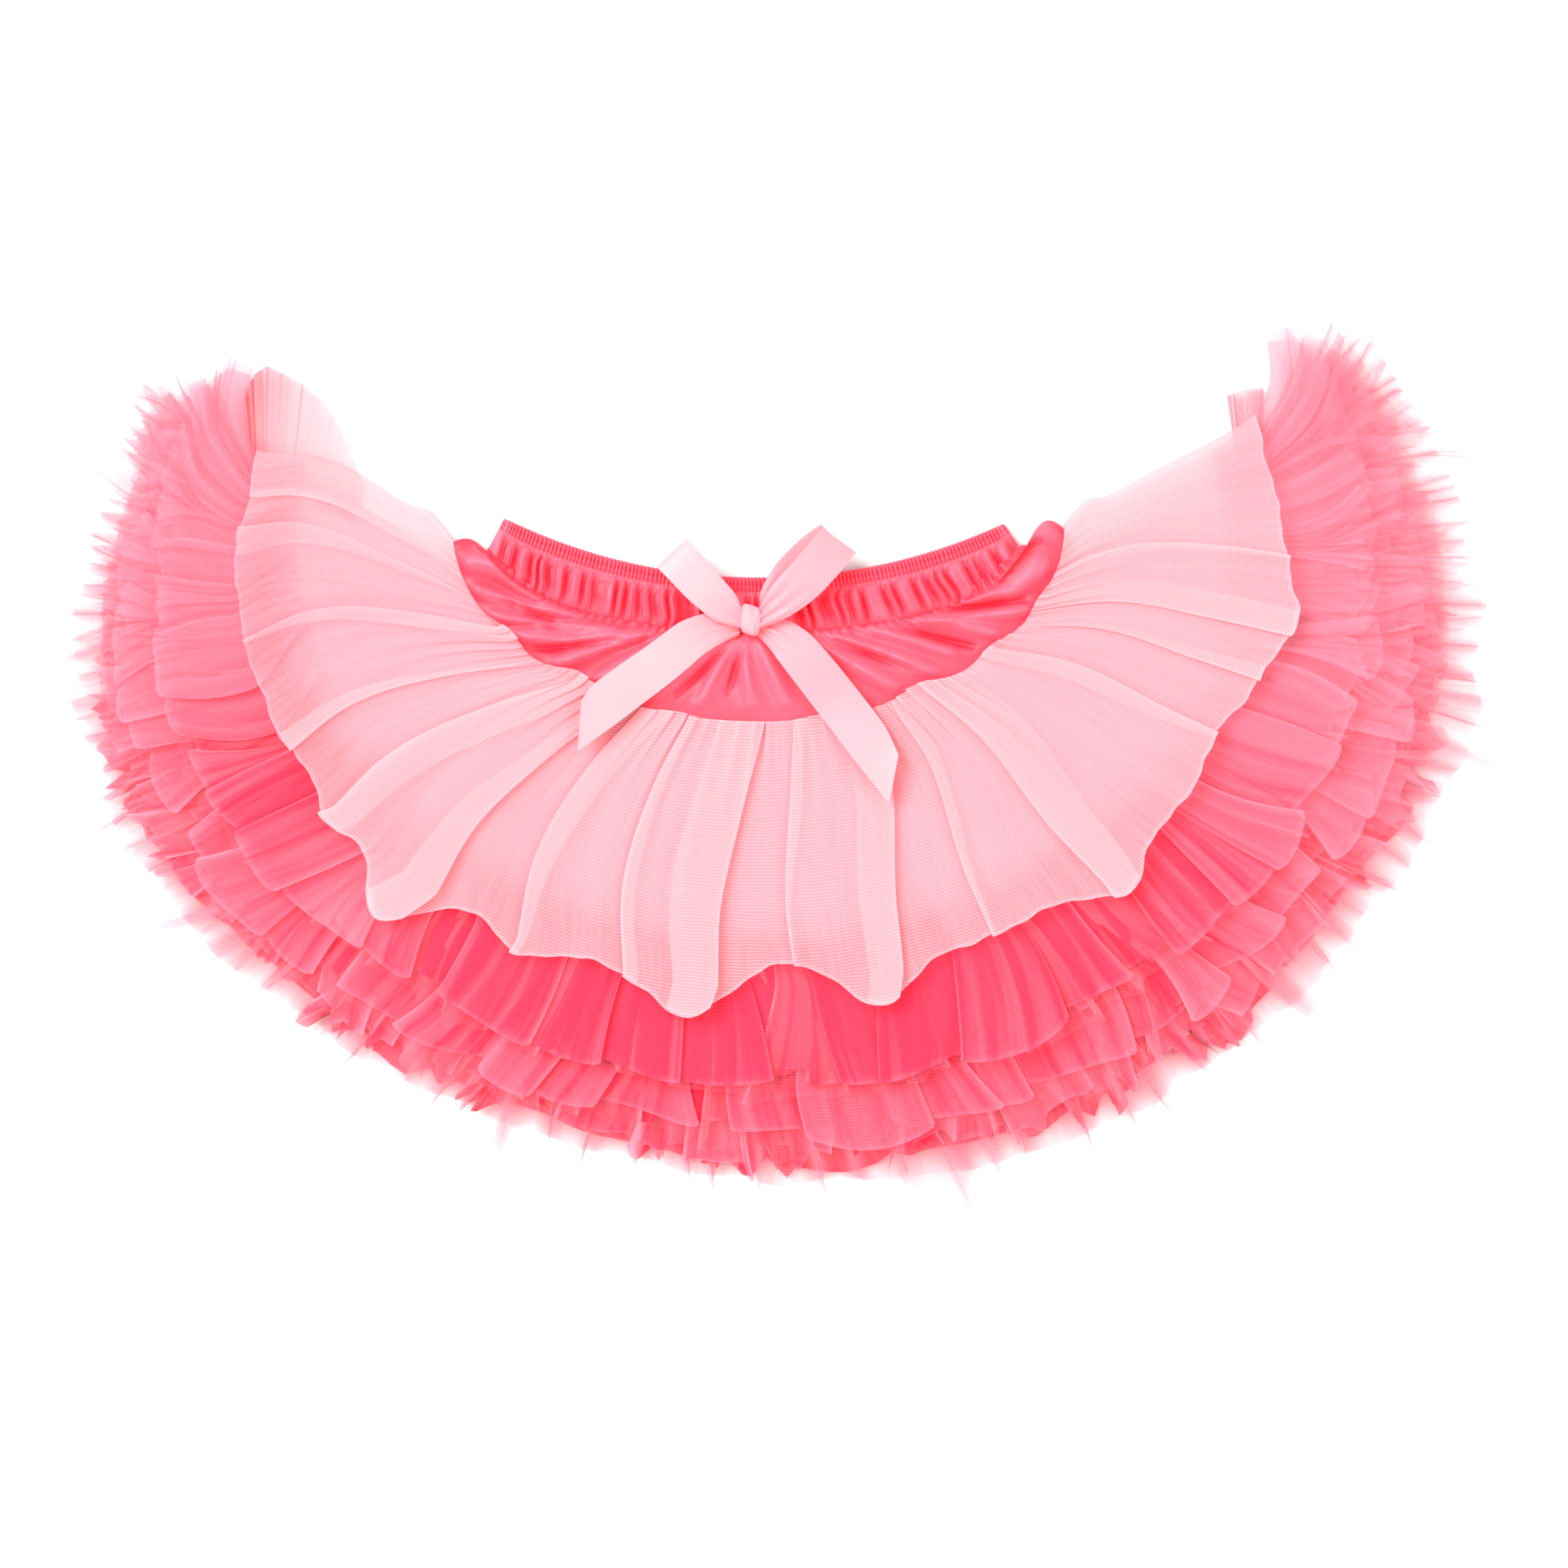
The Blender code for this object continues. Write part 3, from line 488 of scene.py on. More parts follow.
def uneven_folds(count, wide, slant, seed):
    """A made-up row of folds: spaced, slanted and laid to one side or the other unevenly."""
    place = (np.arange(count) + 0.5) / count
    hem_at = place + 0.34 / count * wander(place, seed, 0.31 * count, 0.17 * count)
    root_at = place + slant / count * wander(place, seed + 2, 0.23 * count, 3.3)
    hem_wide = wide / count * (0.7 + 0.5 * wander(place, seed + 1, 0.37 * count, 0.11 * count))
    side = np.where(wander(place, seed + 4, 0.19 * count, 2.7) > -0.1, 1, -1)
    return root_at, hem_at, 0.6 * hem_wide, hem_wide, side


STRETCHED = (0.27, 0.03)        # place and half width of a smooth, pale stretch of the top ruffle
RUFFLE_SPAN = 700               # millimetres of hem to the front, for the width of its creases
OVER_TABLE = 0.3                # the lowest that net may lie


def ruffle(name, ring, columns, rows, count, wide, slant, height, hem_play, seed, material,
           node_names, sink, hem, points, spikes, gather, turned=None, hem_highlight=0.2,
           wider=(0.0, 0.0), under=0.5, thin_hem=0.0, stretched=0.0, crease_highlight=1.0):
    """A flat tube of folded net.  Its folds stand on the solid's front wall and grow toward
    the hem, whose line goes up and down by hem_play.  A finer wave rides on them.  Points
    are pulled out of the hem, spikes of them along the front."""
    ring = dict(RINGS[ring])
    ring["turned"] = turned or ring["turned"]
    share, facing, bulge = round_loop(*columns)
    down = np.linspace(0, 1, rows)[:, None] ** 0.8
    front, back = facing == 1, facing == -1
    root_place, hem_place, tops, near = folded_walls(
        share, facing, uneven_folds(count, wide, slant, seed), 4)
    # Fold edges get a painted highlight: paler, and a little more opaque where the net turns back.
    edge = crease_highlight * bell(near * RUFFLE_SPAN, 0, 1.2)
    rounded = np.exp(-near * RUFFLE_SPAN / 3.5)
    place = crowded(root_place) * (1 - down) + crowded(hem_place) * down
    calm = inland(hem_place, 0.012)
    sway = 0.55 / count * wander(hem_place, seed + 8, 0.27 * count, 0.13 * count, 3.9)
    place = place + sway * calm * np.sin(np.pi * down) * front
    aside = bell(crowded(hem_place), 0, 0.14) + 1.15 * bell(crowded(hem_place), 1, 0.20)
    ripple = wander(hem_place, seed + 5, 2.1 * count, 3.7 * count, 5.9 * count)
    swell = 0.75 + 0.25 * wander(hem_place, seed + 3, 5.3, 11.9)
    uneven = hem_play * (2 * tops - 1 + 1.2 * wander(
        hem_place, seed + 7, 0.21 * count, 0.47 * count, 5.3))
    many = np.where(front, spikes, spikes // 2)
    spike = (many * hem_place + 0.6 * wander(hem_place, seed + 6, 0.31 * spikes, 7.1)) % 1.0
    spike = np.clip(2.2 - np.abs(spike - 0.4) * 11, 0, 1)
    pulled = points * spike * (0.45 + 0.9 * wander(hem_place, seed + 9, 8.7, 19.3, 31.1)).clip(0)
    sides = np.abs(2 * hem_place - 1) ** 2
    pulled = pulled * (1 + 0.9 * sides) - 0.4 * points * sides
    leaned = 0.0007 * pulled * wander(hem_place, seed + 12, 13.7, 29.3)
    place = place + leaned * calm * front * down ** 3
    pulled = pulled - 3.0 * rounded * (points == 0)
    root = ring["depth"][0]
    behind = 0.4 * uneven + (3.5 + 0.8 * pulled.clip(0)) * under
    last = hem + (uneven + pulled) * calm * front + behind * calm * back
    depth = root + (last - root) * down
    grown = 0.2 + 0.8 * down
    plan, level = tube_walls(ring, depth, place, facing, bulge, eased, wider)
    stand = grown * calm * height * (swell * tops + 0.22 * ripple) - sink
    level = level + on_walls(facing, stand, 0.2 * stand.clip(0))
    grid = raised(plan, np.maximum(level, OVER_TABLE))
    bunched = ((gather[0] + (gather[1] - gather[0]) * down) * (1 - 0.9 * aside) - 0.45 * aside
               + 0.4 * (0.5 - tops) + 0.28 * ripple + 0.3 * spike * (points > 0) * down ** 4
               + 0.5 * (under > 0) * back * (1 - aside))
    bunched = bunched - stretched * bell(place, *STRETCHED)
    bunched = bunched - 0.09 * (pulled - 6).clip(0) * down ** 4     # a long point is one layer
    begun = np.clip(down * 4, 0, 1) * (1 - thin_hem * down ** 8)
    bunched = bunched * begun - 0.6 * (1 - begun)
    # The hem line gets the same painted highlight.
    edge = np.maximum(edge * np.ones_like(down), hem_highlight * bell(depth, depth[-1], 0.8))
    return cloth(name, grid, True, (run(grid[-1])[None, :], depth), bunched, material,
                 node_names, edge)


print("a tenth of the way along a plain row, a fold moves to", crowded(np.array(0.1)).round(3))

# %% [markdown]
# The skirt has three tiers of ruffle, gathered so full that the net lies many layers deep.
# Each tier is an outer layer in broad folds, one inside that is finer and fuller, and a sheer
# one that shows as a haze past the hem.  The inside one is a deeper pink copy of the same net,
# painted shade for the net deep in the stack.  A single dense layer could give the colour, but
# not the dark gaps between the folds or the soft, ragged edge.

# %% The three tiers
UPPER, OUTER, INNER = ((RUFFLE_NET, (1.3, 1.1)), (RUFFLE_NET, (1.0, .80)),
                       (SHADED_INNER_NET, (1.3, 1.1)))
TIERS = (       # name, ring, columns, folds, width, slant, height, hem play, seed, sink, hem,
                # points, spikes, net
    ("ruffle_upper", "upper", (1300, 300), 44, 0.9, .8, 5.5, 3.0, 1.0, 0.0, 178, 0, 1, UPPER),
    ("ruffle_upper_inner", "upper", (1300, 200), 60, 0.9, .8, 3.0, 3.0, 4.0, 2.2, 173, 2, 90,
     INNER),
    ("ruffle_middle", "middle", (1300, 300), 50, 0.9, .8, 5.5, 3.5, 7.0, 0.0, 196, 0, 1, OUTER),
    ("ruffle_middle_inner", "middle", (1300, 200), 66, 0.9, .8, 3.0, 3.0, 11.0, 2.2, 190, 4, 90,
     INNER),
    ("ruffle_lower", "lower", (1500, 360), 60, 0.8, .7, 5.0, 3.5, 13.0, 0.0, 202, 9, 110,
     OUTER),
    ("ruffle_lower_inner", "lower", (1500, 240), 76, 0.8, .7, 3.0, 3.5, 17.0, 1.5, 201, 11, 84,
     INNER),
)
for (name, ring, columns, count, wide, slant, tall, play, seed, sink, hem, points, spikes,
     (net, dense)) in TIERS:
    ruffle(name + "_net", ring, columns, 21, count, wide, slant, tall, play, seed,
                          net, [] if name.endswith("inner") else [name], sink, hem, points,
                          spikes, dense, under=1.0 if ring == "lower" else 0.5,
                          stretched=0.7 if ring == "upper" else 0.0,
                          crease_highlight=1.0 if ring == "lower" else 0.5)
for name, ring, count, seed, hem, turned, sink, play, points, spikes, wider in (
        ("ruffle_lower_sheer", "lower", 90, 19.0, 213, None, 0.6, 5.0, 9, 64, (.12, .20)),
        ("ruffle_middle_sheer", "middle", 64, 29.0, 202, None, 0.6, 3.5, 6, 50, (.10, .16)),
        ("ruffle_upper_sheer", "upper", 50, 23.0, 180, (206, 198), 0.6, 2.0, 4, 50, (0, 0))):
    ruffle(name + "_net", ring, (1300, 240), 21, count, 0.3, 0.9, 3.0, play, seed,
                          SHEER_NET, [], sink, hem, points, spikes, (0.25, 0.1), turned,
                          hem_highlight=0.15, wider=wider, under=0.0, thin_hem=0.8)

# %% [markdown]
# ## Underskirt
# The plain skirt inside carries the ruffles, and shows through the net as a soft pink.  It
# could have folds of its own, but under so many layers they wouldn't be seen, so a plain tube
# along the solid's walls is enough.  It is drawn clearer toward the side folds.

# %% The underskirt
ring = RINGS["underskirt"]
share, facing, bulge = round_loop(160, 120)
depth = np.linspace(ring["depth"][0], ring["depth"][-1], 24)[:, None] + 0 * share
lining = raised(*tube_walls(ring, depth, share + 0 * depth, facing, bulge))
cloth("underskirt_cloth", lining, True, (run(lining[-1])[None, :], depth),
                             0.95 * inland(share, 0.16) ** 1.5, LINING, ["underskirt"])

# %% [markdown]
# ## Overskirt
# The pale net overskirt is gathered to the yoke and falls in a few large folds that lie over
# to one side.  Their edges are crisp and carry a painted highlight, as does the hem, and their
# three layers look whiter.  They could come out of a formula, as the many folds of the ruffles
# do.  But they are few, large and all different, so each has its own row of numbers.

# %% The overskirt's folds
FOLDS = np.array((       # place at root and hem, width at root and hem, side, height, reach
    (.045, .012, .022, .008, 1, 2, 0), (.085, .044, .010, .024, -1, 2.5, 1),
    (.150, .108, .034, .006, -1, 2.5, 2), (.215, .175, .006, .016, 1, 2, 3),
    (.282, .229, .044, .020, -1, 4, 7), (.330, .284, .014, .028, 1, 4.5, 21),
    (.372, .354, .036, .008, -1, 3, 7), (.415, .417, .012, .012, -1, 3, 3),
    (.472, .450, .056, .026, 1, 5, 13), (.535, .508, .026, .004, -1, 2, -6),
    (.604, .550, .042, .020, 1, 4, 13), (.655, .617, .022, .006, -1, 2, 1),
    (.716, .692, .056, .022, -1, 5.5, 11), (.790, .796, .036, .008, 1, 3, -4),
    (.848, .842, .008, .014, -1, 2, 1), (.892, .876, .034, .020, -1, 3.5, 8),
    (.940, .918, .020, .005, 1, 2.5, 2),
))
SEAM_PUFFS = (          # place, half width and height of the net's puffs over the yoke seam
    (.150, .030, 4.5), (.262, .034, 5), (.395, .018, 1.2), (.560, .020, 1), (.690, .030, 3.5),
    (.800, .030, 3), (.900, .030, 2.5),
)
YOKE_PUFF = 4.5         # how far the net puffs out beside the yoke, at the side folds
OVERSKIRT_SPAN = 600    # millimetres of hem to the front, for the width of its creases


def overskirt_grid(columns, rows):
    """Front: the solid's front wall, plus the folds, plus small gathers that die out below
    the yoke seam.  At both side folds the net puffs out next to the yoke."""
    ring = RINGS["overskirt"]
    share, facing, bulge = round_loop(*columns)
    down = np.linspace(0, 1, rows)[:, None] ** 0.9
    front = facing == 1
    *folds, tall, longer = FOLDS.T
    hem_at = folds[1]
    root_place, hem_place, tops, near = folded_walls(share, facing, folds, 6)
    # Closeness to a fold edge, for the painted highlight there.
    edge = bell(near * OVERSKIRT_SPAN, 0, 1.3)
    place = root_place * (1 - down) + hem_place * down
    calm = inland(hem_place, 0.012)
    tall_here = np.interp(hem_place, hem_at, tall)
    near_fold = bell(hem_place[:, None], hem_at[None, :], 0.022)
    reach = -3.0 + (longer * near_fold).sum(axis=1) + 1.0 * tops
    gather_shift, gather = pleats(place, 62, 2.4, 23.0)
    fade = np.exp(-down * 5.0)
    fuller = 0.6 + 0.4 * wander(place, 31, 4.3, 9.7)
    height = (0.45 + 0.55 * down) * tall_here * tops + 1.9 * fade * fuller * gather
    height = height + (1 - fade) * 1.3 * (wander(place, 33, 7.7, 13.1, 23.9) + 0.6).clip(0)
    seam_puff = sum(tall * bell(place, at, wide) for at, wide, tall in SEAM_PUFFS)
    seam_puff = seam_puff * (1 - down) ** 2 * calm * front
    root = ring["depth"][0] + 0.2
    last = OVERSKIRT_HEM + (reach + 1.0 * wander(hem_place, 5, 13.3, 31.7, 60.1)) * calm * front
    depth = root + (last - root) * down - seam_puff
    height = height + 0.6 * seam_puff
    back_z = np.interp(depth, ring["depth"], ring["back"])
    front_z = eased(depth, (50.3, 74, 118, 144, 158), (5.3, 6.3, 12.3, 19.7, 22.5))
    plan = flat_tube(depth, place + gather_shift * fade * calm * front, bulge,
                     front_z - back_z, ring)
    bend = bend_at(np.clip(place, 0, 1))
    plan[..., 1] += bend * YOKE_PUFF * bell(depth, 60, 8.5)
    level = back_z + (front_z - back_z) * (1 + facing) / 2
    level = level + on_walls(facing, height * calm, 0.2 * height * calm)
    aside = np.interp(place, (0, .02, .05, .12, .2, .3, .9, .97, 1),
                      (.14, .32, .62, .58, .12, 0, 0, .15, .08))
    bunched = (0.25 - aside + 0.4 * fade * (1 - gather)
               + 0.1 * wander(place, 15, 13.1, 27.7, 52.3) + 0 * down)
    # Painted highlight, paler and a little more opaque: on the top layers next to the fold edges,
    # along the hem, and on the crests of the small gathers below the seam.
    edge = edge * tops * (0.3 + 0.7 * down)
    edge = np.maximum(edge, 0.6 * bell(depth, depth[-1], 0.7))
    edge = edge + 0.5 * fade * fuller * np.clip(gather * 3 - 2, 0, 1)
    return raised(plan, level), depth, bunched, edge


overskirt, overskirt_depth, bunched, edge = overskirt_grid((1400, 320), 48)
cloth("overskirt_net", overskirt, True,
                            (run(overskirt[-1])[None, :], overskirt_depth), bunched, PALE_NET,
                            ["overlay"], edge)

# %% [markdown]
# The back of the skirt isn't laid exactly under the front.  At the left corner its net shows
# past the front's edge as a pale fan, and at the right corner a little pink net peeps out.
# The tubes' own back walls could be moved out there, but the side folds would go with them.
# Two small fans, each between a root line and a hem line, leave the tubes as they are.

# %% The net that shows behind the two upper corners
BEHIND_LEFT = (         # root x, y, hem x, y, from the outer end of the fan to the inner one
    (-186, 100, -190, 132), (-184, 101, -185, 139.5), (-181, 102, -180.6, 142.6),
    (-177, 101, -174.5, 140.1), (-171, 99, -166.7, 135.6), (-165, 96, -158.7, 127.6),
    (-160, 93, -153, 117.8), (-155, 90, -149.9, 109.3), (-150, 87, -147.6, 100.2))
BEHIND_RIGHT = (
    (161, 112, 157.9, 132.4), (163, 112, 160.5, 133.2), (165, 112, 163, 134.1),
    (168, 112, 167, 134.8), (171, 112, 171, 135))


FAN_LENGTH = 40         # millimetres of net from the fans' roots to their hems, for the weave


def behind_corner(name, stations, columns, rows, count, seed, tall, gathers, material):
    """A fan of net between a root line and a hem line, both smooth curves through the
    stations.  Leaning pleats shift it sideways, and they die out toward the clear end."""
    line = smooth(stations, columns // (len(stations) - 1))
    place = np.linspace(0, 1, len(line))
    shift, wave = pleats(place, count, 2.6, seed)
    strong = bell(place, 0, 0.5)
    moved = np.clip(place + shift * strong, 0, 1)
    root, hem = (np.stack([np.interp(moved, place, line[:, n]) for n in (k, k + 1)], axis=-1)
                 for k in (0, 2))
    down = np.linspace(0, 1, rows)[:, None, None]
    ragged = 1 + 0.012 * wander(place, seed + 1, 9.1, 17.3, 29.7)[None, :, None]
    plan = root + (hem - root) * down * ragged
    level = 1.4 + tall * wave * strong * down[..., 0] + 0.8 * down[..., 0]
    grid = raised(plan, level)
    from_root = FAN_LENGTH * down[..., 0] + 0 * place
    gather = np.interp(place, np.linspace(0, 1, len(gathers)), gathers) + 0.3 * strong * (
        0.5 - wave) + 0 * down[..., 0]
    # A painted highlight along the fan's hem, paler and a little more opaque.
    edge = 0.5 * bell(from_root, FAN_LENGTH, 0.8) + 0 * place
    return cloth(name, grid, False, (run(grid[-1])[None, :], from_root), gather, material, [],
                 edge)


behind_corner(
    "overskirt_behind_net", BEHIND_LEFT, 160, 24, 13, 3.0, 2.4,
    (1.4, 1.3, 1.1, .9, .7, .6, .5, .5, .5), PALE_NET)
behind_corner(
    "ruffle_behind_net", BEHIND_RIGHT, 80, 20, 5, 5.0, 1.6, (1.0, .6, .45, .65, .8), RUFFLE_NET)

# %% [markdown]
# ## Satin
# Satin is a smooth, tight cloth with a soft shine, deep in its creases and pale on top.
# Light alone could make that difference, but in light this soft it would be a faint one.  So
# shade is painted into the creases as a deeper colour, and highlight onto the tops as a paler
# one, led by the same value that makes the net denser.

# %% The satin material
def satin_material(name, pale, deep, roughness, sheen, grain=0.12):
    """A shiny cloth with a faint thread grain, pale at gather value 0 and deep at 1: a painted
    highlight and a painted shade.
    """
    material, tree, shader = new_material(name, pale, roughness, sheen)
    vector = cloth_distance(tree)[0]
    relief(tree, shader, grain, 0.0002, streaks(tree, vector, 0.5, 3.0, 2.0))
    cloudy = math_node(tree, "MULTIPLY", math_node(
        tree, "SUBTRACT", streaks(tree, vector, 9.0, 14.0, 2.0), 0.5), 0.3)
    blend(tree, shader, pale, deep, math_node(tree, "ADD", attribute(tree, "gather"), cloudy))
    return material


# Each satin's pale and deep colours are its painted highlight and its painted shade.
SATIN = satin_material("satin", (1.0, .105, .170), (1.0, .006, .036), 0.50, 0.1)
RIBBON = satin_material("ribbon", (1.0, .35, .38), (1.0, .24, .29), 0.45, 0.1, 0.2)
print("satin materials:", SATIN.name, RIBBON.name)

# %% [markdown]
# ## Waist casing
# The elastic shirrs the satin.  At the top a narrow header has fine gathers, and below it the
# casing puffs up between broader ones, each puff curved like a flat S.  The puffs could be
# shaped one by one, but there are dozens, and all of one kind.  So a rounded wave makes them,
# and numbers that wander slowly along it make them unequal.

# %% The casing's surface
PUFFS, FINE_GATHERS = 36, 130   # how many there are along the front
CASING_HEM = 19.6               # depth where the casing ends, a little under the yoke


def casing_grid(columns, rows):
    """A puff profile down the casing, times a rounded wave along it that swings like an S,
    plus a finer wave in the header."""
    ring = RINGS["waist"]
    share, facing, bulge = round_loop(*columns)
    down = np.linspace(0, 1, rows)[:, None]
    depth = (CASING_HEM + 0.35 * wander(share, 12, 28.0, 43.0, 61.0)) * down
    front = facing == 1
    calm = inland(share, 0.02)
    puff = np.interp(depth, (0, 4.6, 5.4, 6.4, 9, 13, 17, 18.6, 19.3),
                     (0, 0, 0, .55, 1, 1, .7, .35, .15))
    header = np.interp(depth, (0, .6, 2.5, 4.4, 5.0, 5.6), (.5, 1, .9, .8, .1, 0))
    swing = 0.10 * np.sin((depth - 4) / 17 * 2 * np.pi) / PUFFS * (
        1 + 0.9 * wander(share, 3, 4.1, 9.3))
    place = share + swing * np.clip((depth - 5) / 3, 0, 1)
    phase = 2 * np.pi * (PUFFS * place + 0.5 * wander(place, 2, 5.3, 12.1, 19.7))
    tall = 1 + 0.45 * wander(place, 9, 11.3, 23.9)
    wave = ((1 + np.cos(phase)) / 2) ** 1.1 * tall
    second = np.abs(np.cos(phase * 1.5 + 1.2 * wander(place, 8, 6.7, 13.9))) ** 1.5
    fine = np.abs(np.sin(np.pi * FINE_GATHERS * share + 0.7 * wander(share, 6, 9.1, 23.0))) ** 2
    stand = puff * (3.0 * wave + 0.6 * second * (depth > 8)) + header * 1.1 * fine
    # Painted shade on the satin: deeper between the puffs, where they are low, and between the
    # header's fine gathers.  It is also deeper along two rows in the header and along the seam at the
    # bottom.
    painted_satin_shade = 0.10 + puff * (1 - wave).clip(0) ** 1.5 * 0.9 + header * 0.5 * (1 - fine)
    two_darker_rows = bell(depth, 2.3, 0.7) + bell(depth, 4.6, 0.7)
    painted_satin_shade = painted_satin_shade + 0.7 * two_darker_rows * (1 - fine)
    painted_satin_shade = painted_satin_shade + 0.6 * bell(depth, 19.3, 0.9)
    plan, level = tube_walls(ring, depth, share + 0 * depth, facing, bulge)
    plan[0, :, 1] += 0.35 * fine * front
    level = level + on_walls(facing, stand * calm, 0.3 * stand * calm)
    return raised(plan, level), depth, share, painted_satin_shade


casing, casing_depth, casing_share, painted_satin_shade = casing_grid((1040, 160), 36)
cloth("waist_casing_satin", casing, True,
                               (casing_share[None, :] * 400, casing_depth), painted_satin_shade, SATIN,
                               ["waist_casing"])

# %% [markdown]
# ## Yoke
# The flat satin yoke is pulled up into the elastic, so creases run down and outward from the
# seam.  Each is a soft ridge or hollow from one point to another.  Noise could make creases
# too, but it knows nothing of where the cloth is pulled, so these are listed one by one.

# %% The yoke's creases
CREASES = (     # from x, y, to x, y, half width, height
    (-112, 73, -98, 69, 3, 2.4), (-98, 69, -80, 59, 2.6, 2.2),
    (-111, 65, -91, 58, 2.6, 2.4), (-91, 58, -70, 55, 2.2, 2.2),
    (-106, 56, -84, 51, 2.6, 2.6), (-84, 51, -59, 50, 2.2, 2.2),
    (-94, 48, -74, 46, 2.6, 2.4), (-74, 46, -50, 49, 2.2, 2.2),
    (-81, 37, -62, 44, 3, 2.6), (-62, 44, -44, 49, 2.2, 2.2),
    (-66, 31, -50, 41, 3, 2), (-50, 41, -38, 48, 2.2, 2),
    (-104, 62, -80, 54, 1.6, -1.4), (-98, 52, -66, 50, 1.6, -1.4), (-86, 43, -56, 46, 1.6, -1.4),
    (-20, 47, -43, 27, 3.4, 2.4), (-16, 47, -28, 24, 2.4, 1.6), (-13, 47, -10, 24, 3, 2.2),
    (-8, 47, 2, 25, 3.2, 1.8), (-17, 45, -36, 27, 1.5, -1.2), (-12, 46, -18, 28, 1.5, -1.2),
    (7, 49, 24, 39, 2.2, 2), (24, 39, 40, 30, 3.2, 2.2), (15, 49, 37, 42, 2.2, 2),
    (37, 42, 54, 35, 3.2, 2.4), (31, 51, 60, 42, 2.8, 2.4), (45, 55, 75, 49, 2.8, 2.4),
    (53, 53, 72, 55, 2.2, 2), (72, 55, 92, 57, 3, 2.4), (60, 60, 82, 63, 2.4, 2.4),
    (82, 63, 94, 71, 3, 2.4), (67, 63, 85, 73, 2.2, 2.2), (85, 73, 97, 80, 3, 2),
    (20, 46, 46, 36, 1.5, -1.3), (40, 50, 68, 44, 1.6, -1.3), (60, 57, 86, 60, 1.6, -1.4),
    (74, 64, 92, 74, 1.6, -1.4),
)


def crease_height(x, y):
    """Sum of the creases: each falls off like a bell across its line, and tapers at its ends."""
    total = np.zeros_like(x)
    for x0, y0, x1, y1, half, tall in CREASES:
        length2 = (x1 - x0) ** 2 + (y1 - y0) ** 2
        t = ((x - x0) * (x1 - x0) + (y - y0) * (y1 - y0)) / length2
        inside = np.clip(t, 0, 1)
        gap = np.hypot(x - x0 - inside * (x1 - x0), y - y0 - inside * (y1 - y0))
        taper = 0.35 + 0.65 * np.sin(np.pi * np.clip(inside * 0.9 + 0.05, 0, 1))
        total += tall * taper * bell(gap, 0, 0.85 * half)
    return total


OVER_CASING = (         # at these shares, the yoke laps over the casing so far
    (0, .03, .064, .10, .13, .16, .20, .76, .80, .84, .88, .93, .97, 1),
    (2.4, 3.6, 3.8, 1.6, .4, 0, 0, 0, 0, .6, 2.4, 4.8, 6.2, 7.0))
LOBES = (3.0, 8.5)      # how far the yoke rounds out at its left and right folds
YOKE_TOP, YOKE_END = 18.6, 50.2         # depths of its upper and lower edge


def yoke_grid(columns, rows):
    """The solid's wall, plus the creases, plus small puckers that fade below the seam.  At
    its two ends the yoke laps up over the casing and rounds out in a soft lobe."""
    ring = RINGS["waist"]
    share, facing, bulge = round_loop(*columns)
    front, back = facing == 1, facing == -1
    over = np.where(front, 1 - inland(share, 0.12), 0)
    up = eased(share, *OVER_CASING).clip(0)
    first = YOKE_TOP - np.where(back, 0, up)
    depth = first + (YOKE_END - first) * np.linspace(0, 1, rows)[:, None]
    calm = inland(share, 0.02)
    plan, level = tube_walls(ring, depth, share + 0 * depth, facing, bulge)
    pucker = np.abs(np.cos(np.pi * (56 * share + 0.4 * wander(share, 4, 5.1, 9.9)))) * (1 - over)
    fade = np.exp(-(depth - CASING_HEM) / 3.5)
    ease = np.interp(depth, (18.6, 19.6, 23, 44, 50), (-0.2, 0.3, 1, 1, 0.15))
    lobe = np.sin(np.pi * np.clip((depth - first) / (YOKE_END - first), 0, 1)) * (
        LOBES[0] * bell(share, 0, 0.05) + LOBES[1] * bell(share, 1, 0.05))
    creased = crease_height(plan[..., 0], plan[..., 1]) * ease
    stand = 1.7 * creased + 0.9 * pucker * fade - 0.6 * np.exp(-(depth - first) / 0.6)
    # Painted light and shade on the satin: paler across the middle of the front and on the ridges of
    # the creases and puckers, deeper toward the side folds and in the hollows of the creases.  It is
    # also deeper along its top edge, at the seam.
    base = np.interp(share, (0, .25, .5, .75, 1), (.86, .78, .40, .62, .80))
    painted_satin_shade = base - 0.5 * creased - 0.2 * pucker * fade + 0.5 * np.exp(-(depth - first) / 0.8)
    plan[..., 1] += lobe
    roll = 4.2 * over ** 0.5 * np.sqrt(np.clip((depth - first) / 4, 0, 1)) * bell(
        (depth - 20).clip(0), 0, 9)
    level = level + on_walls(facing, stand * calm + 0.3 * lobe + roll, 0.3 * pucker * fade)
    return raised(plan, level), depth, share, painted_satin_shade


yoke, yoke_depth, yoke_share, painted_satin_shade = yoke_grid((760, 160), 52)
cloth("yoke_satin", yoke, True, (yoke_share[None, :] * 420, yoke_depth),
                       painted_satin_shade, SATIN, ["yoke"])

# %% [markdown]
# ## Ribbon bow
# The bow is one length of ribbon: two loops, a knot and two tails.  Each stretch is a strip
# carried along a smooth line through a few stations.  A curve object with a flat profile
# would come close, but a grid of points can also have creases near the knot, slanting ends,
# and the same UV map and values as the other cloth.

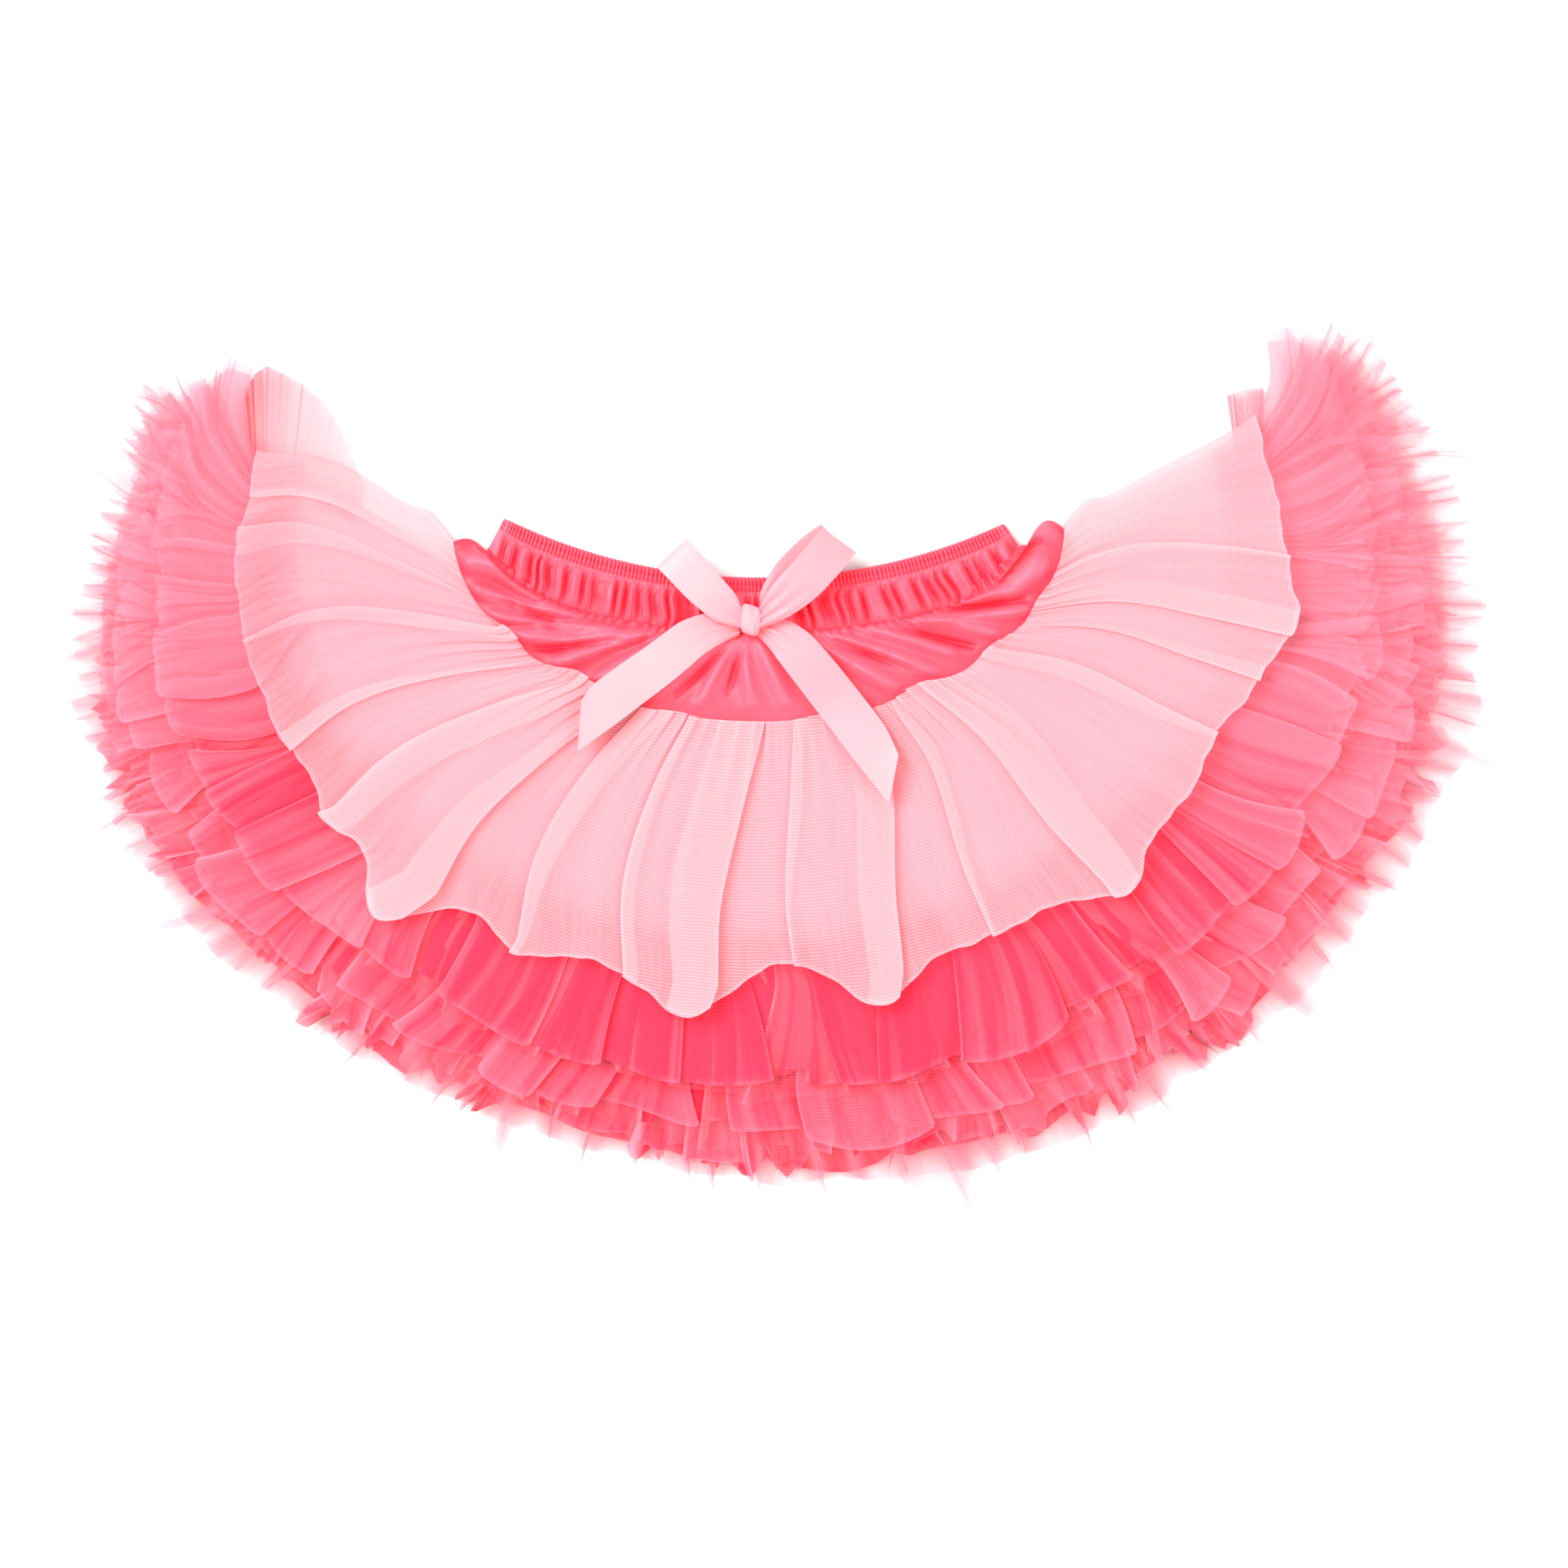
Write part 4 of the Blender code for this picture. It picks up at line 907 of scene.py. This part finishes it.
# %% The ribbon's stations
LEFT_TAIL = (   # x, y, half width, height
    (-14.6, 51.6, 3.8, 6.2), (-22.6, 50.2, 5.8, 7.4), (-30.3, 46.9, 7, 8.6),
    (-36, 42.6, 7.4, 9.3), (-41.8, 38, 7.6, 9.7), (-47.5, 33.8, 7.8, 10),
    (-53.2, 29.7, 7.9, 10.8), (-61.2, 23.5, 7.9, 12.8))
RIGHT_TAIL = (
    (-6.4, 51, 3.6, 6.1), (-0.6, 48.4, 5.8, 7.4), (5.1, 43.6, 7.2, 8.6),
    (9.7, 38.3, 7.6, 9.4), (14.3, 32.6, 7.8, 9.8), (19, 26.6, 7.9, 10.2),
    (23.7, 20.6, 7.9, 11.2), (30.9, 10.9, 7.9, 13))
LEFT_TIPS, RIGHT_TIPS = ((-70.8, 6.9), (-69.6, 24.5)), ((41.9, 5.7), (38.7, -11.6))
LEFT_LOOP = (
    (-13.2, 54, 4, 10.4), (-19, 57.6, 5.8, 11.6), (-26, 64.2, 6.8, 12.4),
    (-33, 71.8, 7.2, 12.2), (-36.6, 75.5, 7.2, 11.2), (-37.9, 76.9, 7.2, 9.6),
    (-36.6, 75.5, 7.2, 8.2), (-32.5, 71.2, 7.2, 8), (-25.5, 63.6, 6.8, 8.2),
    (-19, 57.6, 5.2, 8.2), (-14.2, 54.4, 3.2, 8))
RIGHT_LOOP = (
    (-7, 54, 4, 10.4), (-0.5, 58.6, 5.8, 12.6), (7.8, 66, 7.2, 14.6),
    (15.6, 74.4, 7.4, 14), (19.8, 79.6, 7.4, 12), (21.1, 81.3, 7.4, 10),
    (18, 80.2, 7.4, 8.6), (11.6, 75.4, 7.4, 8), (3.6, 67.4, 7, 8),
    (-2.6, 59.4, 5.2, 8), (-6.2, 54.4, 3.2, 8))


HALF_RIBBON = 7.9       # half the ribbon's width
ACROSS = 15             # points across the ribbon


def ribbon(name, stations, node, shade, tips=None, steps=10, crown=0.5, pinch=0.9):
    """A strip: across each point of the middle line lies a row of points, square to the line,
    raised a little in the middle, with lengthwise creases where the knot pinches it.  Shade is
    the painted shade: how deep its colour is, at even steps from the knot to the end."""
    corners = np.array(stations, float)
    way = np.gradient(corners[:, :2], axis=0)
    turn = [n for n in range(1, len(corners) - 1)
            if np.dot(corners[n, :2] - corners[n - 1, :2],
                      corners[n + 1, :2] - corners[n, :2]) < 0]
    for n in turn:
        way[n] = corners[n, :2] - corners[n - 1, :2]
    if turn:
        way[turn[0] + 1:] *= -1
        way[0] = way[-1] = (np.sign(corners[1, 0] - corners[0, 0]), 0)
    way /= np.linalg.norm(way, axis=1, keepdims=True)
    across = np.stack([-way[:, 1], way[:, 0]], axis=1) * corners[:, 2:3]
    edges = np.concatenate([corners[:, :2] - across, corners[:, :2] + across,
                            corners[:, 3:4], corners[:, 2:3]], axis=1)
    if tips is not None:
        ends = np.array(tips, float)
        if np.dot(ends[1] - ends[0], across[-1]) < 0:
            ends = ends[::-1]
        rise = corners[-1, 3] + 1.6
        edges = np.concatenate([edges, [[*ends[0], *ends[1], rise, HALF_RIBBON]]])
    line = smooth(edges, steps)
    side = np.linspace(0, 1, ACROSS)[None, :, None]
    plan = line[:, None, 0:2] * (1 - side) + line[:, None, 2:4] * side
    s = np.linspace(-1, 1, ACROSS)[None, :]
    narrow = np.clip((7.4 - line[:, 5:6]) / 4.0, 0, 1)
    level = (line[:, 4:5] + crown * (1 - s ** 2) * (0.3 + 0.7 * narrow)
             + pinch * narrow * np.cos(s * 9.0))
    grid = raised(plan, level)
    along = run(grid[:, ACROSS // 2])[:, None]
    gather = np.interp(along / along[-1], np.linspace(0, 1, len(shade)), shade)
    return cloth(name, grid, False, (HALF_RIBBON * (s + 1) + 0 * along, along + 0 * s), gather, RIBBON,
                 [node])


# Painted shade along each piece of the one ribbon: deeper at the knot, along the right tail and round
# the right loop.
for name, stations, shade, tips in (
        ("bow_tail_left", LEFT_TAIL, (.8, .2, 0, 0, 0), LEFT_TIPS),
        ("bow_tail_right", RIGHT_TAIL, (.7, .7, .7, .4, 0), RIGHT_TIPS),
        ("bow_loop_left", LEFT_LOOP, (.6, 0, 0, .3, .5), None),
        ("bow_loop_right", RIGHT_LOOP, (.9, .7, .6, .9, 1), None)):
    ribbon(name + "_ribbon", stations, name, shade, tips)

# %% [markdown]
# The knot is the ribbon wrapped round the middle: a small squarish cushion with folds that
# run across it.  It could be wound from the same strip, but at its size only the cushion and
# its folds are seen, and a squared-off ball gives both.

# %% The knot
KNOT_TURNS, KNOT_RINGS = 64, 33
KNOT_MIDDLE = (10.1, 53.1, 8.87)        # left, up and over the table


def knot_grid():
    """A squared-off ball: sines and cosines to a power under one, plus shallow folds."""
    turn = np.linspace(0, 2 * np.pi, KNOT_TURNS, endpoint=False)[None, :]
    rise = np.linspace(-np.pi / 2, np.pi / 2, KNOT_RINGS)[:, None]

    def squared(value):
        """The value to a power under one, with its sign kept."""
        return np.sign(value) * np.abs(value) ** 0.55

    x = (3.6 + 0.3 * np.sin(turn)) * squared(np.cos(turn)) * squared(np.cos(rise))
    y = 5.3 * squared(np.sin(turn)) * squared(np.cos(rise))
    z = 3.3 * squared(np.sin(rise)) * np.ones_like(turn)
    folds = (0.25 * np.cos(x * 1.5 + 0.4 * y) + 0.10 * np.cos(x * 3.1 - 0.5 * y + 1.0)) * (
        np.cos(rise) ** 0.3)
    z = z + np.where(z > 0, folds, 0)
    left, up, over = KNOT_MIDDLE
    return np.stack([x + 0.08 * y - left, y - 0.3 * x + up, z + over], axis=-1)


knot = knot_grid()
# The knot's colour has a constant 0.4 of painted shade.
cloth("bow_knot_ribbon", knot, True,
                           (np.arange(KNOT_TURNS)[None, :] * 0.4, knot[..., 0] * 2), 0.4, RIBBON,
                           ["bow_knot"])

# %% [markdown]
# ## What each sheet was cut from
# Gathered net is cut much longer than the seam that it is sewn to, so a folded surface alone
# doesn't tell how much cloth went into it.

# %% [markdown]
# ## Floor, light and camera
# The skirt lies on a plain pale floor, in soft light from large lamps, seen from above.
# Small lamps could light it too, but they would draw a hard shadow under every fold.  The
# camera stands high up with a long lens, which shows the skirt almost as a plan.

# %% Floor
FLOOR_REACH, FLOOR_HEIGHT = 3, -0.0005  # metres from the middle to each side, and up
floor_mesh = bpy.data.meshes.new("floor")
floor_mesh.from_pydata([(x * FLOOR_REACH, y * FLOOR_REACH, FLOOR_HEIGHT)
                        for x, y in ((-1, -1), (1, -1), (1, 1), (-1, 1))], [], [(0, 1, 2, 3)])
floor_mesh.materials.append(new_material("floor_paint", (.82, .82, .82), 0.9)[0])
floor = placed("floor", floor_mesh)
print("floor:", 2 * FLOOR_REACH, "metres across")

# %% Light
world = bpy.data.worlds.new("studio")
bpy.context.scene.world = world
world.use_nodes = True
preset(world.node_tree.nodes["Background"], Color=(1, 1, 1, 1), Strength=0.94)
for name, place, size, power in (("key", (-1.1, 0.7, 1.7), 1.3, 52),
                                 ("fill", (1.3, -0.3, 1.3), 1.4, 13)):
    lamp = bpy.data.lights.new(name, "AREA")
    lamp.size, lamp.energy = size, power
    holder = placed(name, lamp)
    holder.location = place
    holder.rotation_euler = (-Vector(place)).to_track_quat("-Z", "Y").to_euler()
    print(f"{name} lamp: {power} watts, {size} metres across")

# %% Camera
LENS, SENSOR = 180, 36          # millimetres
IN_VIEW = 0.5526                # metres across the picture
camera = bpy.data.cameras.new("above")
camera.lens, camera.sensor_width = LENS, SENSOR
eye = placed("above", camera)
eye.location = (0.0029, -0.0064, IN_VIEW * LENS / SENSOR + 0.006)
camera.clip_end = 20
bpy.context.scene.camera = eye
bpy.context.scene.view_settings.view_transform = "Standard"
bpy.context.scene.cycles.transparent_max_bounces = 64
print("camera:", round(eye.location.z, 3), "metres up,", IN_VIEW, "metres across the picture")
